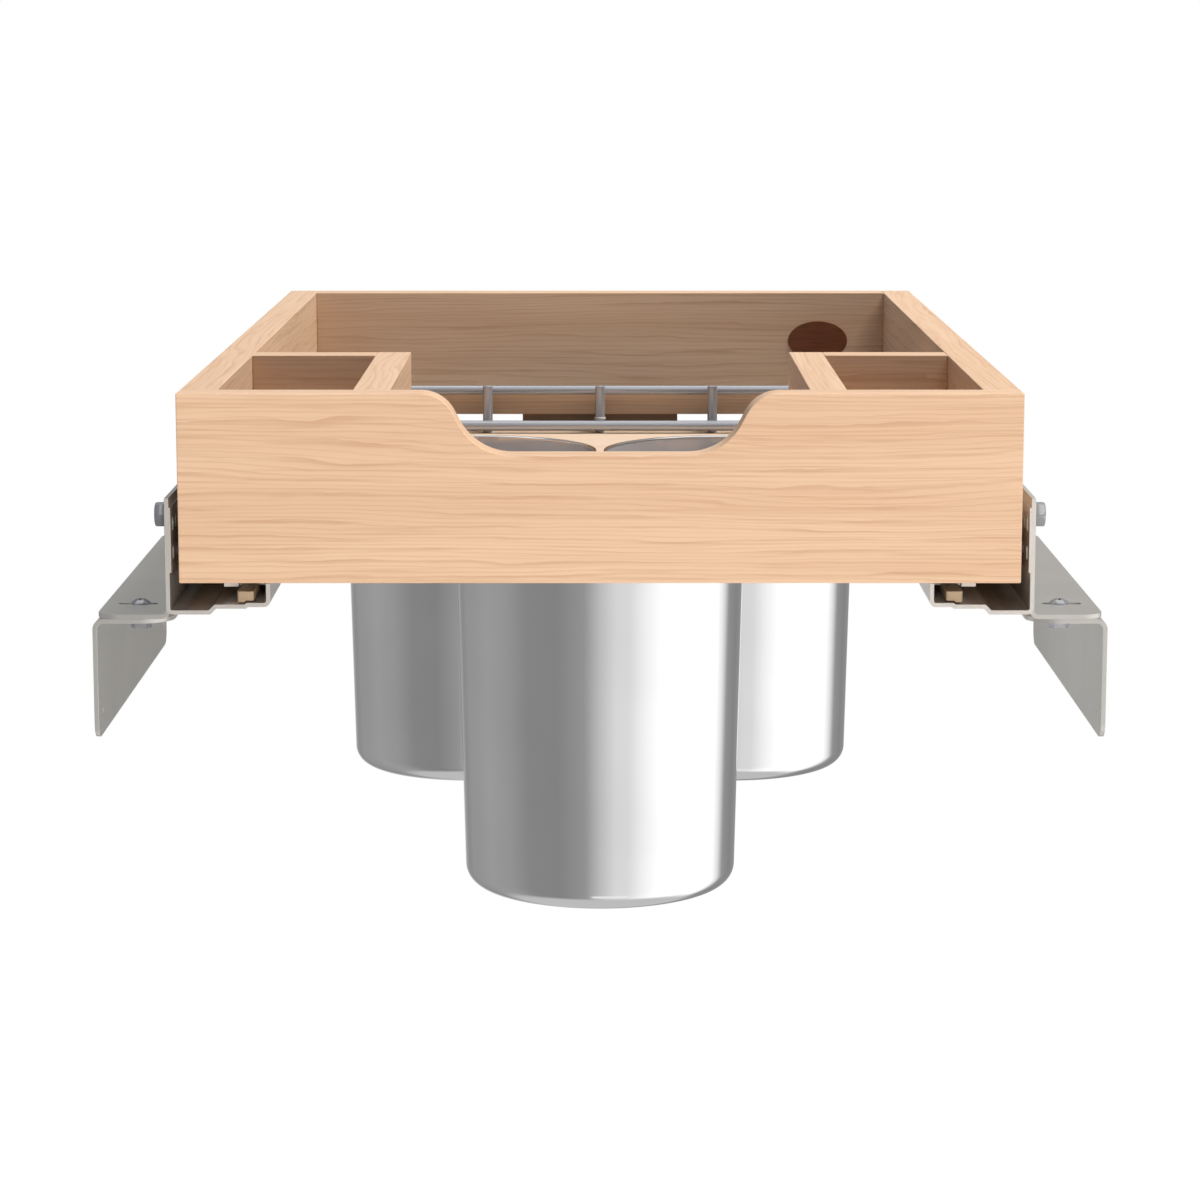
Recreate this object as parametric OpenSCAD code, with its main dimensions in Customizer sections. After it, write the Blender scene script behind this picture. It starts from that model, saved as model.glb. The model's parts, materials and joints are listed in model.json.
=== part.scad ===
// Pull-out organizer for kitchen utensils: a shallow maple drawer box that hangs
// three stainless canisters in a holed shelf and runs on concealed full-extension
// slides, which two pairs of folded steel brackets carry between the cabinet walls.
//
// Every module is written in the drawer's frame: X across, with 0 at the middle,
// Y into the cabinet, with 0 at the drawer's front face, and Z up, with 0 at the
// lower edge of the drawer's sides. Right-hand pieces are drawn at positive X, and
// the left-hand ones are their mirror images. to_wall_centre() then moves the
// origin to the middle of the two bracket faces that meet the cabinet walls.

/* [Drawer box] */
// Outside width of the drawer box
box_w = 358; // [340:1:380]
// Depth of the drawer box, front face to rear face
box_d = 558.8; // [540:0.2:600]
// Height of the front and the sides
box_h = 81; // [78:1:100]
// Thickness of the solid maple boards
board_t = 15.9; // [14:0.1:17]
// Height of the back panel's lower edge above the sides' lower edge
back_lift = 11.4; // [11.2:0.1:16]

/* [Finger scoop] */
// Depth of the scoop below the front panel's upper edge
scoop_d = 26.4; // [22:0.1:32]
// Width of the flat at the bottom of the scoop
scoop_flat_w = 75; // [50:1:84]
// Radius of the rounded shoulders at the top of the scoop
scoop_shoulder_r = 16; // [12:0.5:19]
// Radius of the hollow at the bottom of the scoop
scoop_hollow_r = 25; // [18:0.5:28]
// Slope of the straight between the two curves, in degrees
scoop_slope = 62; // [55:1:70]

/* [Side compartments] */
// Clear width between the two dividers
divider_gap = 178.8; // [150:0.2:200]
// Inside depth of the side compartments
compartment_d = 152.4; // [120:0.2:170]

/* [Canister shelf] */
// Thickness of the plywood shelf
shelf_t = 6.5; // [6:0.1:6.6]
// Height of the shelf's underside above the sides' lower edge
shelf_lift = 4.6; // [4.6:0.1:5]
// Depth of the grooves that hold the shelf
groove_d = 5; // [3:0.5:7]
// Distance from the middle to the centre of each rear canister
rear_canister_x = 68.6; // [68:0.1:80]
// Clearance between a canister and its hole
hole_clearance = 0.4; // [0.3:0.1:0.9]

/* [Canisters] */
// Radius over the turned-out lip
rim_r = 66.8; // [60:0.1:67]
// Reach of the lip beyond the wall
lip_w = 1.5; // [1.3:0.1:2.5]
// Radius of the canister at its lower end
base_r = 61.6; // [52:0.1:63]
// Height of the canister, lip to base
canister_h = 166.6; // [120:0.1:220]
// Radius of the rounded edge at the base
base_edge_r = 9; // [5:0.5:14]
// Rise of the base's middle, pressed inward
base_rise = 2; // [1:0.1:4]
// Wall thickness of the canister
canister_t = 0.8; // [0.6:0.1:1.2]

/* [Gallery rail] */
// Clear depth of the bay between the gallery and the back panel
rear_bay_d = 89.9; // [70:0.1:100]
// Diameter of the upper rail
top_rail_dia = 5; // [4:0.1:6]
// Diameter of the lower rail
low_rail_dia = 5.6; // [4.6:0.1:6]
// Diameter of the posts
post_dia = 5.4; // [4.6:0.1:6.5]
// Height of the upper rail's centre above the lower rail's centre
rail_rise = 18.5; // [17:0.1:30]
// Spacing of the posts
post_pitch = 62; // [50:1:75]
// Height of the wooden strip behind the posts
strip_h = 13.8; // [10:0.1:15]
// Width of the block that carries the strip at its middle
strip_block_w = 86; // [60:1:120]

/* [Slides] */
// Length of the cabinet channel
channel_len = 546; // [520:1:552]
// Thickness of the channel's steel
channel_t = 1.8; // [1.5:0.1:2]
// Gap between the drawer's side and the channel's wall
side_gap = 4.3; // [4:0.1:5]
// Height of the channel's wall above the drawer's lower edge
wall_top = 36; // [34:0.5:40]
// Depth of the channel's underside below the drawer's lower edge
channel_drop = 14; // [13.9:0.1:15]
// Thickness of the drawer runner's steel
runner_t = 1.5; // [1.4:0.1:1.6]
// Width of the drawer runner
runner_w = 17; // [16.8:0.1:17.2]

/* [Wall brackets] */
// Width over the two brackets, cabinet wall to cabinet wall
cabinet_w = 438; // [436:0.5:444]
// Length of each bracket
bracket_len = 238; // [200:1:260]
// Thickness of the bracket's steel
bracket_t = 2; // [1.8:0.1:2.2]
// Reach of the upper bracket's foot beyond the channel's wall
foot_reach = 32.2; // [28:0.1:33]
// Height of the lower bracket's wall flange
flange_h = 52.9; // [45:0.1:65]
// Diameter of the holes for the cabinet wall screws
wall_hole_dia = 3.2; // [2.6:0.1:6]

/* [Badge place] */
// Width of the plain oval disc
badge_w = 34; // [24:0.5:44]
// Height of the plain oval disc
badge_h = 22.4; // [16:0.2:30]
// Distance from the right side's inner face to the disc's centre
badge_x = 37.7; // [20:0.1:100]

/* [Hidden] */

// Smoothness of round solids and of the arcs in outlines
round_fn = 96;
small_fn = 32;
arc_steps = 6;
// Overrun of a cutting solid past the face that it cuts
cut = 1;

// Colours
maple = [0.86, 0.71, 0.55];
plywood = [0.84, 0.70, 0.56];
stain = [0.33, 0.18, 0.09];
steel = [0.75, 0.74, 0.71];
stainless = [0.78, 0.79, 0.80];
chrome = [0.86, 0.87, 0.88];
almond = [0.80, 0.72, 0.60];
white_plastic = [0.90, 0.90, 0.88];
grey_plastic = [0.55, 0.56, 0.57];

// Drawer box
side_in_x = box_w / 2 - board_t;
inner_back_y = box_d - board_t;
shelf_top = shelf_lift + shelf_t;
compartment_rear_y = board_t + compartment_d + board_t;
divider_x = divider_gap / 2;
front_canister_y = (board_t + compartment_rear_y) / 2;
rear_canister_y = (compartment_rear_y + inner_back_y) / 2;

// Dowels at the box's corners
dowel_dia = 8;
dowel_in_face = 10;
dowel_in_end = 18;
dowel_fit = 0.05;
dowel_margin = 15;

// Canisters
seat_gap = 0.3;
lip_bend_r = 1.2;
base_step_angle = 60;
lip_z = shelf_top + seat_gap;
mouth_r = rim_r - lip_w;
hole_r = mouth_r + hole_clearance;
base_z = lip_z + canister_t - canister_h;

// Gallery
gallery_y = inner_back_y - rear_bay_d;
rail_seat_gap = 1.4;
low_rail_z = shelf_top + rail_seat_gap + low_rail_dia / 2;
top_rail_z = low_rail_z + rail_rise;
rail_in_side = 5;
rail_fit = 0.1;
weld_fit = 0.03;
low_rail_y = gallery_y - (post_dia + low_rail_dia) / 2 - weld_fit;
top_rail_y = gallery_y + (post_dia + top_rail_dia) / 2 + weld_fit;
post_cap = 0.6;
post_span_share = 0.8;
posts_each_side = floor(side_in_x * post_span_share / post_pitch);
post_places = [for (i = [-posts_each_side : posts_each_side]) i * post_pitch];
collar_wall = 0.4;
collar_dia = post_dia + 2 * collar_wall;
collar_h = 1.4;
strip_gap = 1.3;
strip_front_y = top_rail_y + top_rail_dia / 2 + strip_gap;
strip_top = top_rail_z;
strip_bottom = strip_top - strip_h;
strip_block_inset = 4;
shelf_rear_y = strip_front_y + board_t;

// Cabinet channel, as distances from the middle and heights
channel_front_y = 3;
wall_in_x = box_w / 2 + side_gap;
wall_out_x = wall_in_x + channel_t;
channel_bottom = -channel_drop;
joggle_rise = 2.5;
joggle_run = 2.6;
joggle_outset = 3.2;
joggle_start_x = side_in_x + joggle_outset;
joggle_end_x = joggle_start_x - joggle_run;
ledge_rise = 0.7;
ledge_inset = 12.9;
ledge_x = side_in_x - ledge_inset;
inner_wall_inset = 22.5;
inner_wall_x = side_in_x - inner_wall_inset;
inner_wall_drop = 0.6;
inner_wall_top = -inner_wall_drop;
low_floor = channel_bottom + channel_t;
run_floor = low_floor + joggle_rise;
ledge_floor = run_floor + ledge_rise;
channel_bend_r = 2.8;
lip_reach = 2.4;
lip_front_gap = 42;
wall_pad_t = 0.8;
wall_pad_low = 4;
wall_pad_high = 32;
wall_bolt_z = 24;
wall_low_hole_z = 11.6;
wall_spare_hole_dia = 6;
wall_hole_setback = 7.5;
wall_hole_step = 10;

// Drawer runner
runner_gap = 0.4;
runner_out_x = side_in_x - runner_gap;
runner_in_x = runner_out_x - runner_w;
runner_top = shelf_lift;
runner_h = 8.6;
runner_lip = 3.5;
runner_bend_r = 1.6;
hook_w = 10;
hook_t = 1.5;
hook_gap = 0.3;
hook_rise = 17;
hook_pin_dia = 5.5;
hook_pin_len = 8;
hook_pin_fit = 0.25;

// Middle rail and its rollers
mid_t = 1.3;
roller_gap = 0.15;
top_roller_dia = 3;
mid_lip_gap = 0.6;
mid_top = runner_top - runner_t - top_roller_dia - 2 * roller_gap;
mid_low = runner_top - runner_h - mid_lip_gap - mid_t;
low_roller_dia = mid_low - run_floor - 2 * roller_gap;
mid_flange_margin = 2.7;
mid_web_w = 4;
mid_wing_gap = 0.6;
mid_wing_top_gap = 0.4;
mid_front_y = 31;
mid_rear_gap = 9;
mid_len = channel_front_y + channel_len - mid_rear_gap - mid_front_y;
roller_margin = 1.2;
cage_bar_t = 0.5;
cage_bar_h = 1.4;
cage_gap = 0.2;
cage_len = 84;
rollers_in_cage = 7;
cage_setback = 24;

// Bumper on the front end of the middle rail
bumper_front_y = 5;
bumper_w = 7.2;
bumper_wall_gap = 5.3;
bumper_floor_gap = 0.6;
bumper_lip_gap = 0.3;
bumper_r = 1.2;

// Locking device under the drawer's front corner and its lever
lock_gap = 0.5;
lock_front_y = board_t + lock_gap;
lock_len = 62;
lock_bar_len = 13.6;
lock_bottom = 0.1;
lock_roof_t = 1.5;
lock_inner_w = 32;
nose_w = 6.2;
nose_drop = 4.1;
lock_wall_gap = 1.2;
lock_screw_dia = 3.5;
lock_screw_head_dia = 7;
lock_screw_head_h = 2;
lock_screw_len = 9;
lock_screw_fit = 0.05;
lever_pin_dia = 3;
lever_boss_dia = 7;
lever_fit = 0.06;
lever_gap = 0.3;
lever_arm_w = 5;
lever_pad_w = 7;
lever_pad_len = 15;
lever_pivot_inset = 8.5;
lever_pivot_back = 24;
lever_tip_x_gap = 2;
lever_tip_back = 46;
lock_outer_gap = 1.5;
lock_out_x = side_in_x - lock_outer_gap;
lock_plate_x = runner_in_x - lock_wall_gap;
lock_in_x = lock_plate_x - lock_inner_w;
lever_pivot = [lock_plate_x - lever_pivot_inset, lock_front_y + lever_pivot_back];
lever_tip = [lock_in_x - lever_tip_x_gap, lock_front_y + lever_tip_back];

// Wall brackets
bracket_setback = 15;
bracket_front_y = channel_front_y + bracket_setback;
bracket_mid_y = bracket_front_y + bracket_len / 2;
foot_gap = 2.6;
foot_top = channel_bottom - foot_gap;
foot_bottom = foot_top - bracket_t;
leg_drop = 3;
leg_top = wall_top - leg_drop;
upper_bend_r = 4;
lower_bend_r = 4.6;
foot_end_x = wall_out_x + foot_reach;
wall_face_x = cabinet_w / 2;
plate_under_foot = 32.7;
plate_in_x = foot_end_x - plate_under_foot;
flange_bottom = foot_bottom - flange_h;
flange_mid_z = (foot_bottom + flange_bottom) / 2;
foot_corner_r = 9;
plate_corner_r = 14;
flange_corner_r = 7;
slot_w = 4.6;
slot_len = 17.4;
slot_end_margin = 5.9;
slot_mid_x = foot_end_x - slot_end_margin - slot_len / 2;
slot_setback = 29;
clamp_shift = 1.1;
clamp_screw_x = slot_mid_x - clamp_shift;
wall_hole_inset = 12.5;
wall_hole_rise = 10.3;
wall_hole_z = flange_bottom + wall_hole_rise;
bolt_setback = 22;
bolt_places = [bracket_front_y + bolt_setback, bracket_front_y + bracket_len - bolt_setback];
slot_places = [bracket_front_y + slot_setback, bracket_front_y + bracket_len - slot_setback];
wall_hole_places = [bracket_front_y + wall_hole_inset,
    bracket_front_y + bracket_len - wall_hole_inset];

// Bolts, screws and nuts
bolt_dia = 6;
bolt_fit = 0.1;
bolt_head_flats = 10;
bolt_head_h = 6.5;
bolt_head_round = 1.6;
clinch_nut_dia = 10;
clinch_nut_t = 1.6;
button_dia = 4;
button_head_dia = 6;
button_head_h = 1.8;
button_setback = 6;
clamp_screw_dia = 4.2;
clamp_head_dia = 9.4;
clamp_head_h = 2.4;
clamp_nut_flats = 8;
clamp_nut_h = 5.6;
clamp_flange_dia = 10;
clamp_flange_h = 1;
clamp_screw_end = 0.4;
recess_w = 1;
recess_span = 4.4;
recess_d = 1.2;

// Soft-close unit on the channel's floor
damper_len = 150;
damper_rear_gap = 10;
damper_side_gap = 1;
damper_joggle_gap = 1.4;
damper_top_gap = 1.6;
damper_groove_w = 4;
damper_groove_d = 2.5;
damper_edge = 1.5;
damper_rib_pitch = 30;
damper_rib_w = 2;
damper_rib_d = 0.6;

// Oval disc
badge_t = 0.6;
badge_z = 53.4;

// Vectors in the plane, for outlines
function unit(v) = v / norm(v);
function left_of(v) = [-v[1], v[0]];

// Arc of radius r that rounds the corner b between the points a and c
function corner_arc(a, b, c, r) =
    let (
        u = unit(a - b),
        w = unit(c - b),
        half = acos(u * w) / 2,
        centre = b + unit(u + w) * r / sin(half),
        first = b + u * r / tan(half) - centre,
        last = b + w * r / tan(half) - centre,
        start = atan2(first[1], first[0]),
        swing = atan2(first[0] * last[1] - first[1] * last[0], first * last)
    )
    [for (i = [0 : arc_steps]) let (angle = start + swing * i / arc_steps)
        centre + r * [cos(angle), sin(angle)]];

// Open path with every inner corner rounded to radius r
function bent(path, r) = [
    path[0],
    for (i = [1 : len(path) - 2]) each corner_arc(path[i - 1], path[i], path[i + 1], r),
    path[len(path) - 1]
];

// Shift of point i of a path to a parallel path at distance t on its left
function mitre(path, i, t) =
    let (
        last = len(path) - 1,
        before = left_of(unit(path[max(i, 1)] - path[max(i, 1) - 1])),
        after = left_of(unit(path[min(i, last - 1) + 1] - path[min(i, last - 1)]))
    )
    (before + after) * t / (1 + before * after);

// Closed outline of a sheet of thickness t that lies on the left of a path
function sheet(path, t) = concat(
    path,
    [for (i = [len(path) - 1 : -1 : 0]) path[i] + mitre(path, i, t)]
);

// Moves the drawer's frame to the middle of the two wall faces
module to_wall_centre() {
    translate([0, -bracket_mid_y, -flange_mid_z]) children();
}

module mirrored() {
    mirror([1, 0, 0]) children();
}

// Extrudes an outline in X and Z along the drawer's depth
module along_depth(from_y, length) {
    translate([0, from_y + length, 0]) rotate([90, 0, 0]) linear_extrude(length) children();
}

// Round bar or bore along X
module x_rod(x, y, z, d, length, fn = small_fn) {
    translate([x, y, z]) rotate([0, 90, 0]) cylinder(d = d, h = length, $fn = fn);
}

// Square corner less its quarter circle, to cut a rounded corner at the origin
module corner_cutter(r, depth) {
    difference() {
        translate([-r, -r, 0]) cube([r + cut, r + cut, depth]);
        translate([-r, -r, -cut]) cylinder(r = r, h = depth + 2 * cut, $fn = small_fn);
    }
}

// Board between two corners
module board(low, high) {
    translate(low) cube(high - low);
}

// Outline of the scoop: shoulders and hollow joined by straights at scoop_slope
function scoop_side() =
    let (
        shoulder_drop = scoop_shoulder_r * (1 - cos(scoop_slope)),
        hollow_rise = scoop_hollow_r * (1 - cos(scoop_slope)),
        straight = scoop_d - shoulder_drop - hollow_rise,
        hollow_x = scoop_flat_w / 2,
        foot_x = hollow_x + scoop_hollow_r * sin(scoop_slope),
        neck_x = foot_x + straight / tan(scoop_slope),
        shoulder_x = neck_x + scoop_shoulder_r * sin(scoop_slope)
    )
    concat(
        [for (i = [0 : arc_steps]) let (a = scoop_slope * i / arc_steps)
            [hollow_x + scoop_hollow_r * sin(a), scoop_hollow_r * (1 - cos(a)) - scoop_d]],
        [for (i = [arc_steps : -1 : 0]) let (a = scoop_slope * i / arc_steps)
            [shoulder_x - scoop_shoulder_r * sin(a), -scoop_shoulder_r * (1 - cos(a))]]
    );

module scoop_outline() {
    right = scoop_side();
    left = [for (i = [len(right) - 1 : -1 : 0]) [-right[i][0], right[i][1]]];
    top = [[right[len(right) - 1][0], cut], [left[0][0], cut]];
    polygon(concat(left, right, top));
}

// Heights of the dowels in a corner whose boards meet over a given height
function dowel_rows(low, high) = [low + dowel_margin, (low + high) / 2, high - dowel_margin];

// Dowels at the right-hand corners, or their bores where fit is more than zero
module right_dowels(fit) {
    mid_x = box_w / 2 - board_t / 2;
    for (z = dowel_rows(0, box_h))
        translate([mid_x, board_t + dowel_in_end + fit, z]) rotate([90, 0, 0])
            cylinder(d = dowel_dia + 2 * fit, h = dowel_in_face + dowel_in_end + 2 * fit,
                $fn = small_fn);
    for (z = dowel_rows(back_lift, box_h))
        x_rod(side_in_x - dowel_in_end - fit, box_d - board_t / 2, z, dowel_dia + 2 * fit,
            dowel_in_face + dowel_in_end + 2 * fit);
}

module dowel_bores() {
    right_dowels(dowel_fit);
    mirrored() right_dowels(dowel_fit);
}

// Front of the drawer, across its whole width, with the finger scoop
module front_panel() {
    color(maple) to_wall_centre() difference() {
        along_depth(0, board_t) difference() {
            translate([-box_w / 2, 0]) square([box_w, box_h]);
            translate([0, box_h]) scoop_outline();
        }
        shelf_blank();
        dowel_bores();
    }
}

module right_side_board() {
    difference() {
        board([side_in_x, board_t, 0], [box_w / 2, box_d, box_h]);
        shelf_blank();
        dowel_bores();
        for (rail = [[top_rail_y, top_rail_z, top_rail_dia], [low_rail_y, low_rail_z, low_rail_dia]])
            x_rod(side_in_x - cut, rail[0], rail[1], rail[2] + 2 * rail_fit,
                rail_in_side + rail_fit + cut);
    }
}

module right_side_panel() {
    color(maple) to_wall_centre() right_side_board();
}

module left_side_panel() {
    color(maple) to_wall_centre() mirrored() right_side_board();
}

// Back of the drawer, between the sides and clear of the slides
module back_panel() {
    color(maple) to_wall_centre() difference() {
        board([-side_in_x, inner_back_y, back_lift], [side_in_x, box_d, box_h]);
        dowel_bores();
        hook_pins(hook_pin_fit);
        mirrored() hook_pins(hook_pin_fit);
    }
}

module right_divider_board() {
    board([divider_x, board_t, shelf_top], [divider_x + board_t, compartment_rear_y, box_h]);
}

module right_divider() {
    color(maple) to_wall_centre() right_divider_board();
}

module left_divider() {
    color(maple) to_wall_centre() mirrored() right_divider_board();
}

module right_cross() {
    board([divider_x + board_t, compartment_rear_y - board_t, shelf_top],
        [side_in_x, compartment_rear_y, box_h]);
}

module right_cross_board() {
    color(maple) to_wall_centre() right_cross();
}

module left_cross_board() {
    color(maple) to_wall_centre() mirrored() right_cross();
}

// Shelf without its holes, as it lies in its grooves
module shelf_blank() {
    board([-side_in_x - groove_d, board_t - groove_d, shelf_lift],
        [side_in_x + groove_d, shelf_rear_y, shelf_top]);
}

// Plywood shelf with one hole for each canister
module canister_shelf() {
    color(plywood) to_wall_centre() difference() {
        shelf_blank();
        for (place = canister_places())
            translate([place[0], place[1], shelf_lift - cut])
                cylinder(r = hole_r, h = shelf_t + 2 * cut, $fn = round_fn);
        lock_screws(lock_screw_fit);
        mirrored() lock_screws(lock_screw_fit);
    }
}

// Strip of maple behind the gallery's posts
module rear_cross_strip() {
    color(maple) to_wall_centre()
        board([-side_in_x, strip_front_y, strip_bottom],
            [side_in_x, strip_front_y + board_t, strip_top]);
}

// Block between the shelf and the middle of the strip
module strip_support_block() {
    color(maple) to_wall_centre()
        board([-strip_block_w / 2, strip_front_y + strip_block_inset, shelf_top],
            [strip_block_w / 2, strip_front_y + board_t, strip_bottom]);
}

// Plain oval disc on the back panel's inner face
module oval_badge() {
    color(stain) to_wall_centre()
        translate([side_in_x - badge_x, inner_back_y, badge_z]) rotate([90, 0, 0])
            linear_extrude(badge_t) polygon([for (i = [0 : round_fn - 1])
                let (a = 360 * i / round_fn) [badge_w / 2 * cos(a), badge_h / 2 * sin(a)]]);
}

// Dowel pins that join the front, the sides and the back
module box_dowels() {
    color(almond) to_wall_centre() {
        right_dowels(0);
        mirrored() right_dowels(0);
    }
}

// Gallery rails, held in the drawer's sides
module gallery_rail(y, z, d) {
    reach = side_in_x + rail_in_side;
    x_rod(-reach, y, z, d, 2 * reach);
}

module gallery_top_rail() {
    color(chrome) to_wall_centre() gallery_rail(top_rail_y, top_rail_z, top_rail_dia);
}

module gallery_lower_rail() {
    color(chrome) to_wall_centre() gallery_rail(low_rail_y, low_rail_z, low_rail_dia);
}

// Posts that stand on the shelf, between the lower rail in front and the upper one behind
module gallery_posts() {
    top = top_rail_z + top_rail_dia / 2 + post_cap;
    color(chrome) to_wall_centre()
        for (x = post_places)
            translate([x, gallery_y, shelf_top])
                cylinder(d = post_dia, h = top - shelf_top, $fn = small_fn);
}

// White collar round the middle post, just above the lower rail
module post_collars() {
    color(white_plastic) to_wall_centre()
        translate([0, gallery_y, low_rail_z + low_rail_dia / 2 + weld_fit]) difference() {
            cylinder(d = collar_dia, h = collar_h, $fn = small_fn);
            translate([0, 0, -cut])
                cylinder(d = post_dia + 2 * weld_fit, h = collar_h + 2 * cut, $fn = small_fn);
        }
}

// Places of the three canisters: front, left and right
function canister_places() = [
    [0, front_canister_y],
    [-rear_canister_x, rear_canister_y],
    [rear_canister_x, rear_canister_y]
];

// Outline of a canister's lip, wall and base, which revolves about Z
function canister_outline() =
    let (
        edge = base_edge_r,
        inner_edge = base_edge_r - canister_t,
        base_flat = base_r - base_edge_r,
        step_x = base_flat - base_edge_r,
        step_z = base_z + base_rise * (1 - cos(base_step_angle)),
        outside = [for (i = [0 : arc_steps]) let (a = 90 * i / arc_steps)
            [base_flat + edge * sin(a), base_z + edge * (1 - cos(a))]],
        inside = [for (i = [arc_steps : -1 : 0]) let (a = 90 * i / arc_steps)
            [base_flat + inner_edge * sin(a), base_z + edge - inner_edge * cos(a)]],
        half = canister_t / 2,
        lip_edge = [for (i = [-arc_steps : arc_steps]) let (a = 90 * i / arc_steps)
            [rim_r - half + half * cos(a), lip_z + half + half * sin(a)]],
        bend_x = mouth_r - canister_t + lip_bend_r,
        bend_z = lip_z + canister_t - lip_bend_r,
        lip_bend = [for (i = [0 : arc_steps]) let (a = 90 * i / arc_steps)
            [bend_x - lip_bend_r * sin(a), bend_z + lip_bend_r * cos(a)]]
    )
    concat(
        [[0, base_z + base_rise]],
        [[step_x, step_z]],
        outside,
        [[mouth_r, lip_z]],
        lip_edge,
        lip_bend,
        inside,
        [[step_x, step_z + canister_t]],
        [[0, base_z + base_rise + canister_t]]
    );

// Stainless canister that hangs by its turned-out lip
module canister(i) {
    place = canister_places()[i];
    color(stainless) to_wall_centre() translate([place[0], place[1], 0])
        rotate_extrude($fn = round_fn) polygon(canister_outline());
}

module front_canister() {
    canister(0);
}

module left_canister() {
    canister(1);
}

module right_canister() {
    canister(2);
}

// Cabinet member of a slide: a folded channel with a tall pierced wall
function channel_path() = [
    [wall_out_x, wall_top],
    [wall_out_x, channel_bottom],
    [joggle_start_x, channel_bottom],
    [joggle_end_x, channel_bottom + joggle_rise],
    [ledge_x + ledge_rise, channel_bottom + joggle_rise],
    [ledge_x, channel_bottom + joggle_rise + ledge_rise],
    [inner_wall_x, channel_bottom + joggle_rise + ledge_rise],
    [inner_wall_x, inner_wall_top]
];

// The folds: only the two corners below the walls are round, the steps are sharp
function channel_face() =
    let (p = channel_path(), last = len(p) - 1)
    concat(
        [p[0]],
        corner_arc(p[0], p[1], p[2], channel_bend_r),
        [for (i = [2 : last - 2]) p[i]],
        corner_arc(p[last - 2], p[last - 1], p[last], channel_bend_r),
        [p[last]]
    );

// Centres of the spare holes in the channel's wall, as depths and heights: three groups
// of four, where the front group's last hole is left to the button-head screw
function wall_spare_holes() =
    let (
        first = channel_front_y + wall_hole_setback,
        last = channel_front_y + channel_len - wall_hole_setback - wall_hole_step
    )
    [for (start = [first, (first + last) / 2, last]) for (step = [0, wall_hole_step])
        for (z = [wall_bolt_z, wall_low_hole_z])
            if (start > first || step == 0 || z == wall_bolt_z) [start + step, z]];

module side_channel() {
    difference() {
        union() {
            along_depth(channel_front_y, channel_len) polygon(sheet(channel_face(), -channel_t));
            board([wall_in_x - wall_pad_t, channel_front_y, wall_pad_low],
                [wall_in_x, channel_front_y + channel_len, wall_pad_high]);
            board([inner_wall_x + channel_t, channel_front_y + lip_front_gap,
                    inner_wall_top - channel_t],
                [inner_wall_x + channel_t + lip_reach, channel_front_y + channel_len,
                    inner_wall_top]);
        }
        for (place = wall_spare_holes())
            x_rod(wall_in_x - wall_pad_t - cut, place[0], place[1], wall_spare_hole_dia,
                channel_t + wall_pad_t + 2 * cut);
        for (y = bolt_places)
            x_rod(wall_in_x - wall_pad_t - cut, y, wall_bolt_z, bolt_dia + 2 * bolt_fit,
                channel_t + wall_pad_t + 2 * cut);
        button_shank(bolt_fit);
    }
}

module right_cabinet_channel() {
    color(steel) to_wall_centre() side_channel();
}

module left_cabinet_channel() {
    color(steel) to_wall_centre() mirrored() side_channel();
}

// Drawer member of a slide: a C section under the shelf with a rear hook
module side_runner() {
    low = runner_top - runner_h;
    path = bent([
        [runner_out_x - runner_lip, low],
        [runner_out_x, low],
        [runner_out_x, runner_top],
        [runner_in_x, runner_top],
        [runner_in_x, low],
        [runner_in_x + runner_lip, low]
    ], runner_bend_r);
    front = lock_front_y + lock_bar_len + lock_gap;
    mid_x = (runner_out_x + runner_in_x) / 2;
    along_depth(front, box_d + hook_gap + hook_t - front) polygon(sheet(path, runner_t));
    board([mid_x - hook_w / 2, box_d + hook_gap, runner_top - runner_t],
        [mid_x + hook_w / 2, box_d + hook_gap + hook_t, runner_top + hook_rise]);
    hook_pins(0);
}

// Pin of the runner's rear hook, which enters the back panel
module hook_pins(fit) {
    mid_x = (runner_out_x + runner_in_x) / 2;
    translate([mid_x, box_d + hook_gap + hook_t, runner_top + hook_rise - hook_w / 2])
        rotate([90, 0, 0]) cylinder(d = hook_pin_dia + 2 * fit,
            h = hook_pin_len + hook_gap + hook_t + fit, $fn = small_fn);
}

module right_drawer_runner() {
    color(steel) to_wall_centre() side_runner();
}

module left_drawer_runner() {
    color(steel) to_wall_centre() mirrored() side_runner();
}

// Middle member of a slide: flange, web, foot and upturned wing
module side_middle() {
    top_out = runner_out_x - mid_flange_margin;
    top_in = runner_in_x + mid_flange_margin;
    mid_x = (top_out + top_in) / 2;
    wing_x = inner_wall_x + channel_t + mid_wing_gap;
    wing_top = inner_wall_top - channel_t - mid_wing_top_gap;
    along_depth(mid_front_y, mid_len) union() {
        translate([top_in, mid_top - mid_t]) square([top_out - top_in, mid_t]);
        translate([mid_x - mid_web_w / 2, mid_low]) square([mid_web_w, mid_top - mid_low]);
        translate([wing_x, mid_low]) square([top_out - wing_x, mid_t]);
        translate([wing_x, mid_low]) square([mid_t, wing_top - mid_low]);
    }
}

module right_middle_rail() {
    color(steel) to_wall_centre() side_middle();
}

module left_middle_rail() {
    color(steel) to_wall_centre() mirrored() side_middle();
}

// Ranges in X, heights and diameters of the upper and the lower rollers
function roller_rows() =
    let (
        out = runner_out_x - mid_flange_margin - roller_margin,
        top_in = runner_in_x + mid_flange_margin + roller_margin
    )
    [
        [top_in, out, mid_top + roller_gap + top_roller_dia / 2, top_roller_dia],
        [ledge_x + roller_margin, out, run_floor + roller_gap + low_roller_dia / 2,
            low_roller_dia]
    ];

// Front ends of the two cages on a middle rail
function cage_fronts() = [
    mid_front_y + cage_setback,
    mid_front_y + mid_len - cage_setback - cage_len
];

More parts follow.
